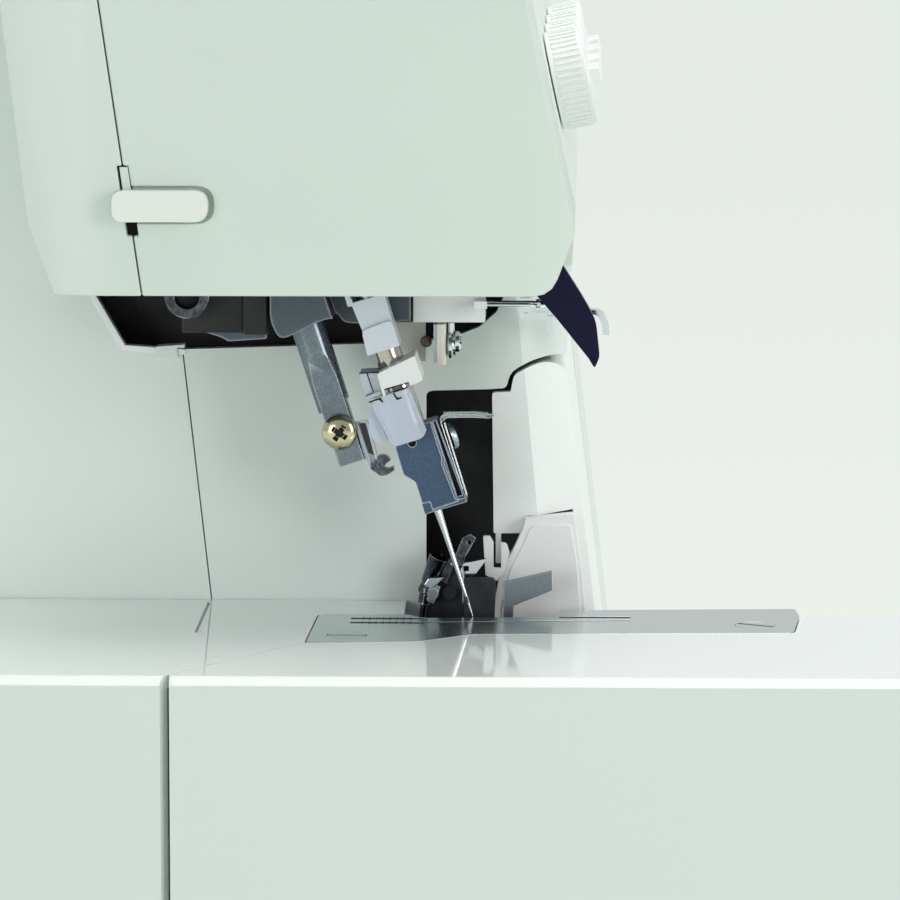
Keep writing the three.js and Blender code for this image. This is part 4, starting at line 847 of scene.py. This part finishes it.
def threader():
    bore = rod((0, 0, 40), (0, 0, 100), 3.55, 40)
    tube = prism("x", [(-4.2, 79.6, .3), (-4.0, 73.3), (-3.95, 66.9, .3), (4.05, 66.9, .3), (3.4, 73.0), (3.9, 79.8, .3)], -4.9, 4.4)
    apron = prism("x", [(-3.9, 73.4, 1.2), (-3.9, 67.0, .2), (4.0, 67.0, .2), (3.5, 73.0, 1.2)], -5.9, -4.4)
    stick = prism("x", [(3.9, 83.9), (4.75, 84.0), (4.85, 79.3, .2), (3.6, 79.0, .2), (3.4, 79.7)], -5, -3.2)
    part("threader sleeve", "threader", "milky_plastic", [tube, apron, stick], [bore], LEANING, 0.28, ["threader_sleeve"])
    body = prism("x", [(-6.7, 64.0, .5), (-6.7, 57.9, .6), (-3.6, 57.6, .3), (-3.5, 58.6), (2.9, 58.8), (2.9, 62.3), (2.5, 62.7)], -8.8, 4.4)
    wing = prism("x", [(2.4, 62.4), (5.0, 63.2, .2), (7.1, 63.7, .3), (7.5, 58.5, .3), (5.3, 58.7), (5.2, 58.2), (2.8, 58.8)], -6.8, 3.6)
    ridge = prism("x", [(2.9, 62.6, .2), (2.3, 62.5, .2), (2.6, 56.4, .2), (3.3, 56.4, .2)], -9.0, -6.4)
    clip = prism("x", [(3.4, 58.6), (7.5, 58.2, .3), (7.4, 57.4, .3), (3.6, 57.5)], -8.2, -4)
    part("threader block", "threader", "white_plastic", [body, ridge], [bore], LEANING, 0.3, ["threader_block"])
    part("threader block side", "threader", "clear_plastic", [wing, clip], [bore], LEANING, 0.15)
    # Thin strips of painted shade in the seams of the block.
    seams = [prism("x", [(5.15, 63.2), (5.4, 63.3), (5.35, 58.7), (5.1, 58.7)], -6.95, -6.75),
             prism("x", [(2.6, 62.9), (7.1, 63.95), (7.1, 63.75), (2.6, 62.6)], -6.95, -6.7),
             prism("x", [(-3.4, 58.55), (2.8, 58.75), (2.8, 58.5), (-3.4, 58.3)], -8.95, -8.7)]
    part("threader block seams", "threader", "shadow", seams, place=LEANING, edge=0.02)
    main = prism("x", [(-3.1, 57.3, .8), (-3.9, 46.4, 1.1), (-2.4, 45.1, .9), (4.35, 45.15, .5), (6.5, 55.6, .5), (5.6, 57.0, .3),
                       (2.6, 57.2)], -9.2, -8.5)
    left = prism("x", [(6.3, 56.6), (7.5, 55.2, .3), (9.2, 49.8, .5), (8.0, 46.75, .4), (5.35, 46.8, .4), (5.75, 50.9)], -7.8, -7.0)
    rib = prism("x", [(6.5, 56.4), (5.9, 56.5), (4.3, 46.0), (4.8, 46.0)], -9.4, -6.8)
    lip = prism("x", [(-3.2, 56.4), (-3.9, 46.6), (-3.3, 46.2), (-2.6, 56.4)], -9.6, -6.8)
    back = prism("x", [(5.6, 57.4), (-3.0, 57.4), (-3.0, 55.6), (5.6, 55.2)], -8.6, -5.6)
    part("threader shield", "threader", "clear_plastic", [main, left, rib, lip, back], place=LEANING, edge=0.2,
         stands_for=["threader_shield"])
    # Painted shade in the joints where the shield clips into the block.
    joint = [prism("x", [(0.6, 57.7), (-2.6, 57.7), (-2.6, 57.4), (0.6, 57.3)], -9.3, -9.1),
             prism("x", [(0.9, 57.2), (0.5, 57.2), (0.1, 55.9), (-0.9, 55.8), (-0.9, 55.5), (0.4, 55.4)], -9.3, -9.1),
             prism("x", [(3.9, 57.2), (6.8, 57.1), (6.9, 56.8), (4.4, 56.8), (3.8, 55.9), (3.5, 56.0)], -9.3, -9.1)]
    part("shield joints", "threader", "shadow", joint, place=LEANING, edge=0.02)


# ---- Under the head --------------------------------------------------------------------------

def thread_clip():
    panel = prism("x", [(19.0, 68.3), (19.0, 60.2), (11.5, 58.7, .3), (11.5, 68.3)], 14, 15)
    plate = block(8.2, 15, 9.0, 9.5, 58.9, 68.3)
    post = prism("z", [(8.6, 8.9), (15, 8.9), (15, 6.6), (8.6, 6.6, 1.2)], 58.6, 68.3)
    part("thread clip post", "frame", "cream_plastic", [panel, post], edge=0.3, stands_for=["thread_clip"])
    part("thread clip plate", "frame", "dark_steel", [plate], edge=0.08)
    collar = turned([(0, 1.8), (0.8, 3.2), (1.4, 3.2), (1.8, 2.4), (2.3, 2.4)], (11.5, 6.7, 63.1), (0, -1, 0), 32)
    head = turned([(0, 2.5), (0.9, 2.5), (1.4, 1.9)], (11.5, 4.4, 63.9), (0, -1, 0), 32)
    stud = rod((11.5, 5.4, 62), (11.5, 5.4, 68.3), 0.8, 16)
    part("thread clip screws", "frame", "bright_steel", [collar, head, stud], [block(8, 15, 2, 3.4, 63.6, 64.2)], edge=0.1)
    part("rust mark", "frame", "old_screw", [turned([(0, 1.4), (0.7, 1.3), (1.0, 0.8)], (14.1, 11.4, 63.6), (-1, -0.15, 0), 20)], edge=0.1)


def wire_guide():
    # A wire bent back on itself, held in a small plate.
    z = 73.6
    path = [(3.2, -1.2, z)] + arc((5.6, -13.2, z), 2.4, 180, 360, 12) + [(8.0, -1.2, z)]
    foot = block(2.4, 8.8, -3.2, -0.2, z - 0.9, z + 0.8)
    tip = turned([(0, 1.0), (1.0, 1.2), (2.4, 0.8)], (5.6, -14.6, z), (0, -1, 0), 20)
    part("wire guide", "frame", "bright_steel", [wire(path, 0.45), foot, tip], edge=0.1, stands_for=["wire_guide"])


def guide_bracket():
    # Bright folded strip with a stay up into the head and a curled rear end.
    arm = prism("x", [(-10.8, 69.0), (-10.8, 70.5, .2), (-19.2, 70.4), (-19.3, 69.0)], 14.4, 18.9)
    tab = prism("x", [(-17.2, 69.8), (-18.6, 69.8), (-18.4, 65.6, .4), (-17.0, 65.6, .4)], 13.8, 16.6)
    rear = prism("x", [(-26.5, 70.6), (-26.6, 71.3), (-30.0, 71.0, 1.4), (-31.6, 68.8, 1.4), (-31.9, 65.2, .3),
                       (-30.3, 65.2, .3), (-30.1, 68.0, .8), (-29.0, 69.8, .6)], 14.4, 18.9)
    link = prism("x", [(-19.0, 69.0), (-19.0, 70.4), (-27, 71.3), (-27, 70.1)], 16, 18.9)
    stay = block(14.4, 18.9, -13.6, -10.8, 69.4, 80.4)
    bolt = rod((14.6, -12.2, 69.8), (13.6, -12.2, 69.8), 0.7, 16)
    part("guide bracket", "frame", "bright_steel", [arm, tab, rear, link, stay, bolt], edge=0.15,
         stands_for=["guide_bracket"])


def waste_chute():
    # Moulded chute with a curved mouth and a raised panel.
    rim = prism("x", [(-4.6, -14), (-4.4, -1, 3), (-6.0, 7.6, 6), (-9.4, 13.4, 5), (-11.6, 18.4, 3), (-12.0, 20.4, .4), (-23.7, 21.7, .5),
                      (-25.3, 10), (-26.4, -1.6), (-26.4, -14)], 19.9, 24)
    panel = prism("x", [(-6.6, -14), (-6.4, -1, 2), (-8.4, 8.2, 5), (-11.6, 14.2, 4), (-13.4, 18.9, 1.5), (-22.9, 19.1, .8), (-24.4, 10),
                        (-25.3, -1.6), (-25.4, -14)], 19.5, 20.2)
    part("waste chute", "frame", "cover_light", [rim, panel], edge=0.4, stands_for=["waste_chute"])


def lever_shutter():
    # Closes most of the lever's slot and moves with the lever.
    seam = lambda z: 62.2 + 0.1416 * z
    strip = lambda z0, z1: prism("x", [(seam(z0) - 1.15, z0), (seam(z0) + 0.75, z0), (seam(z1) + 0.75, z1),
                                       (seam(z1) - 1.15, z1)], -47.8, -46.2)
    part("lever shutter", "threader_handle", "head_cover", [strip(98.3, 110.1)], edge=0.15)


def window_lip():
    # Raised rim along the rear edge of the opening under the head.
    rim = prism("x", [(69, 60.4), (83.5, 61.4), (90.2, 73), (93.5, 81), (94.8, 80.6), (91.5, 72.4), (84.3, 60.1),
                      (69, 59.1)], 23.7, 24.3)
    part("window lip", "frame", "cover_light", [rim], edge=0.2)


def lift_block():
    # The block's near-black stands partly for painted shade where the casting lies in shadow.
    main = prism("x", [(53.8, 66.9, .6), (68.3, 66.9, .6), (68.5, 87.4), (53.8, 87.4)], 2, 19.9)
    side = prism("x", [(47.9, 67.0, .8), (53.7, 67.0, .8), (53.7, 81.4), (47.9, 81.4)], -2.9, 12)
    part("lift block", "frame", "black_frame", [main, side], edge=0.5, stands_for=["lift_block"])
    bracket = prism("x", [(64.2, 67.1, .5), (48.6, 67.1, .3), (48.6, 65.2, .4), (57.6, 64.6, .6), (59.4, 65.6)], 4.6, 13.8)
    part("lift bracket", "frame", "cast_metal", [bracket], edge=0.35)
    ring = turned([(-0.5, 5.3), (3.6, 5.3), (3.9, 4.9)], (-2.4, 66.5, 76.4), (-1, 0, 0), 48)
    part("bushing", "frame", "dark_chrome", [ring], [rod((-8, 66.5, 76.4), (-3.2, 66.5, 76.4), 2.9, 32)], edge=0.35)
    # Painted shade at the bottom of the bushing's bore.
    part("bushing bore", "frame", "shadow", [rod((-3.5, 66.5, 76.4), (-3.3, 66.5, 76.4), 2.85, 32)], edge=0.02)


def arm_casting():
    side = prism("x", [(47.2, 88), (47.2, 70.6, 2.4), (44.9, 66.3, 2.4), (41.4, 67.6, 2), (36.4, 70.4, 2), (32.4, 71.6, 1.6), (30.6, 69.0, 1.2),
                       (28.2, 68.7, 1), (14.8, 69.4), (14.8, 92), (20, 139.5), (69.5, 139.5), (69.5, 100), (56, 88)], -6.6, 21.8)
    bores = [turned([(40, 4.4), (165, 4.4)], (0, 15.5, 0), (0, 0, 1), 40), turned([(40, 3.6), (165, 3.6)], (0, 0, 0), (0, 0, 1), 40)]
    lean = Matrix.Rotation(-TILT, 4, "X")
    cuts = [([lean @ Vector(v) for v in verts], faces) for verts, faces in bores]
    channel = block(-9, 6.2, -12, 9.0, 55, 99.8)
    cuts.append(([lean @ Vector(v) for v in channel[0]], channel[1]))
    part("arm casting", "frame", "cast_metal", [side], cuts, edge=1.1, stands_for=["arm_casting"])


def loopers():
    # A dark holder with an open mouth sits on the arm, with the finger clamped beside it.
    pivot, knee = Vector((15.6, 17, -34)), Vector((15.5, 11.3, 4.6))
    top = Vector((13.9, 8.3, 12.2))
    reach, rise = knee - pivot, top - knee
    end = reach.length
    arm = turned([(0, 1.5), (20, 0.9), (end - 4.1, 0.9), (end - 3.9, 1.6), (end - 1.6, 1.6), (end - 1.2, 1.95),
                  (end - 0.4, 1.95), (end + 1.0, 1.5)], pivot, reach, 40)
    cup = turned([(0.6, 1.5), (1.6, 1.9), (5.5, 2.15), (rise.length, 2.35)], knee, rise, 48)
    mouth = turned([(rise.length - 2.4, 1.75), (rise.length + 1, 1.95)], knee, rise, 40)
    hub = rod((12.9, 17, -34), (19.9, 17, -34), 4.4, 32)
    part("lower looper holder", "lower_looper_arm", "dark_chrome", [arm, cup, hub], [mouth], edge=0.15,
         stands_for=["lower_looper"])
    # Painted shade inside the mouth of the holder.
    part("holder mouth", "lower_looper_arm", "shadow",
         [turned([(rise.length - 2.6, 1.7), (rise.length - 2.3, 1.8)], knee, rise, 24)], edge=0.02)
    collar = prism("x", [(11.9, 5.6), (10.9, 7.2, .4), (7.2, 7.4), (8.4, 5.9), (10.4, 4.4)], 12.6, 13.6)
    part("looper collar", "lower_looper_arm", "bright_steel", [collar], edge=0.25)
    mass = prism("x", [(9.8, 6.6), (5.4, 10.0, .5), (2.6, 8.4, .5), (2.9, -3), (11.6, -3), (11.4, 2.5)], 16.9, 18.6)
    boss = rod((15.2, 6.0, 3.2), (17, 6.0, 3.2), 1.7, 24)
    part("looper carrier", "lower_looper_arm", "blued_plate", [mass, boss], edge=0.3)
    finger = prism("x", [(8.2, 6.2), (6.6, 5.4), (5.0, 9.6, .4), (2.9, 9.8, .6), (2.0, 12.2, .3), (-0.4, 16.4, .5), (1.0, 17.6, .5), (2.8, 16.6, .3),
                         (4.6, 12.2, .6), (6.8, 11.0, .4)], 15.0, 16.9)
    hole = rod((14, 1.2, 15.4), (18, 1.2, 15.4), 0.5, 16)
    slit = prism("x", [(5.6, 10.4), (3.4, 10.8), (3.2, 10.2), (5.2, 9.9)], 14, 15.4)
    part("lower looper finger", "lower_looper_arm", "dark_chrome", [finger], [hole, slit], edge=0.25)
    clampbit = prism("x", [(10.4, 6.4), (8.0, 5.0), (9.6, 1.0), (11.2, 1.6)], 12.9, 14.6)
    part("lower looper clamp", "lower_looper_arm", "satin_steel", [clampbit, rod((12.6, 9.8, 3.4), (14.4, 9.8, 3.4), 1.3, 24)], edge=0.2)
    blade = prism("x", [(-3.2, 12.3), (0.4, 11.5, .5), (2.4, 11.2, .6), (3.3, 9.4, .5), (2.7, 8.2, .4), (2.9, -30, 2), (-0.6, -38, 2), (-3.4, -34, 2),
                        (0.2, -12), (0.9, 7.9, .5), (-0.2, 8.3, .4)], 10.5, 12.1)
    eyelet = prism("x", [(2.5, 10.5, .2), (1.2, 10.5, .2), (1.2, 9.2, .2), (2.5, 9.2, .2)], 9, 13)
    hub2 = rod((10.5, -1, -34), (15.9, -1, -34), 4.4, 32)
    part("upper looper blade", "upper_looper_arm", "bright_steel", [blade, hub2], [eyelet], edge=0.3, stands_for=["upper_looper"])


# ---- Repeats ---------------------------------------------------------------------------------

def knurl(body, place, turn, radius, low, high, look, count):
    """Fine ribs around the side of a dial."""
    place = UPRIGHT @ Matrix.Translation(place) @ turn
    rib = block(-0.5, 0.28, -0.34, 0.34, low, high)
    repeat(body + " knurl", body, look, RING, [rib], place=place, edge=0.12, Count=count, Radius=radius)


def dial_knurls():
    lean = math.atan2(11.8, 55.2)
    forward = Matrix.Rotation(math.radians(90), 4, "X")
    for i in range(4):
        place = Vector((58 + 36 * i, -17.98, 122))
        knurl(f"tension_{i + 1}", place, Matrix.Rotation(-lean, 4, "X") @ forward, 12, 1.6, 8.0, "white_plastic", 48)
    knurl("presser_pressure", Vector((-4, 62, 178)), Matrix.Identity(4), 11, 1.4, 6.8, "white_plastic", 44)


def vents():
    # The slots are near-black strips of painted shade, with raised ribs between them.
    slot = block(-0.9, 0.9, -0.02, 0.08, -10, 10)
    hood = block(1.6, 2.6, -0.3, 0.7, -10.5, 10.5)
    repeat("rear vents", "frame", "shadow", ROW, [slot], edge=0.02, Count=16, Start=(60, 132, -56), Step=(5, 0, 0))
    repeat("rear vent ribs", "frame", "cover_shell", ROW, [hood], edge=0.3, Count=16, Start=(60, 132, -56),
           Step=(5, 0, 0))


def case_screws():
    head = turned([(-1, 3.4), (0.6, 3.4), (1.4, 2.8), (1.7, 1.6)], (0, 0, 0), (0, 1, 0), 28)
    slot = block(-3, 3, 0.9, 3, -0.45, 0.45)
    for name, z in (("upper", -42), ("lower", -70)):
        repeat(name + " case screws", "frame", "bright_steel", ROW, [head], [slot], edge=0.1, Count=2,
               Start=(40, 132, z), Step=(125, 0, 0))


def wheel_dimples():
    dome = turned([(-0.5, 1.1), (0.3, 1.1), (0.8, 0.7), (0.95, 0.3)], (0, 0, 0), (0, 0, 1), 20)
    place = UPRIGHT @ Matrix.Translation((244, 22, -42)) @ Matrix.Rotation(math.radians(90), 4, "Y")
    repeat("wheel dimples", "drive", "grey_plastic", RING, [dome], place=place, Count=12, Radius=9)


dial_knurls()
vents()
case_screws()
wheel_dimples()
presser_bar()
presser_screw()
foot_catch()
needle_clamp()
thread_guide()
needle_bar()
threader()
thread_clip()
wire_guide()
guide_bracket()
waste_chute()
lever_shutter()
window_lip()
lift_block()
arm_casting()
loopers()
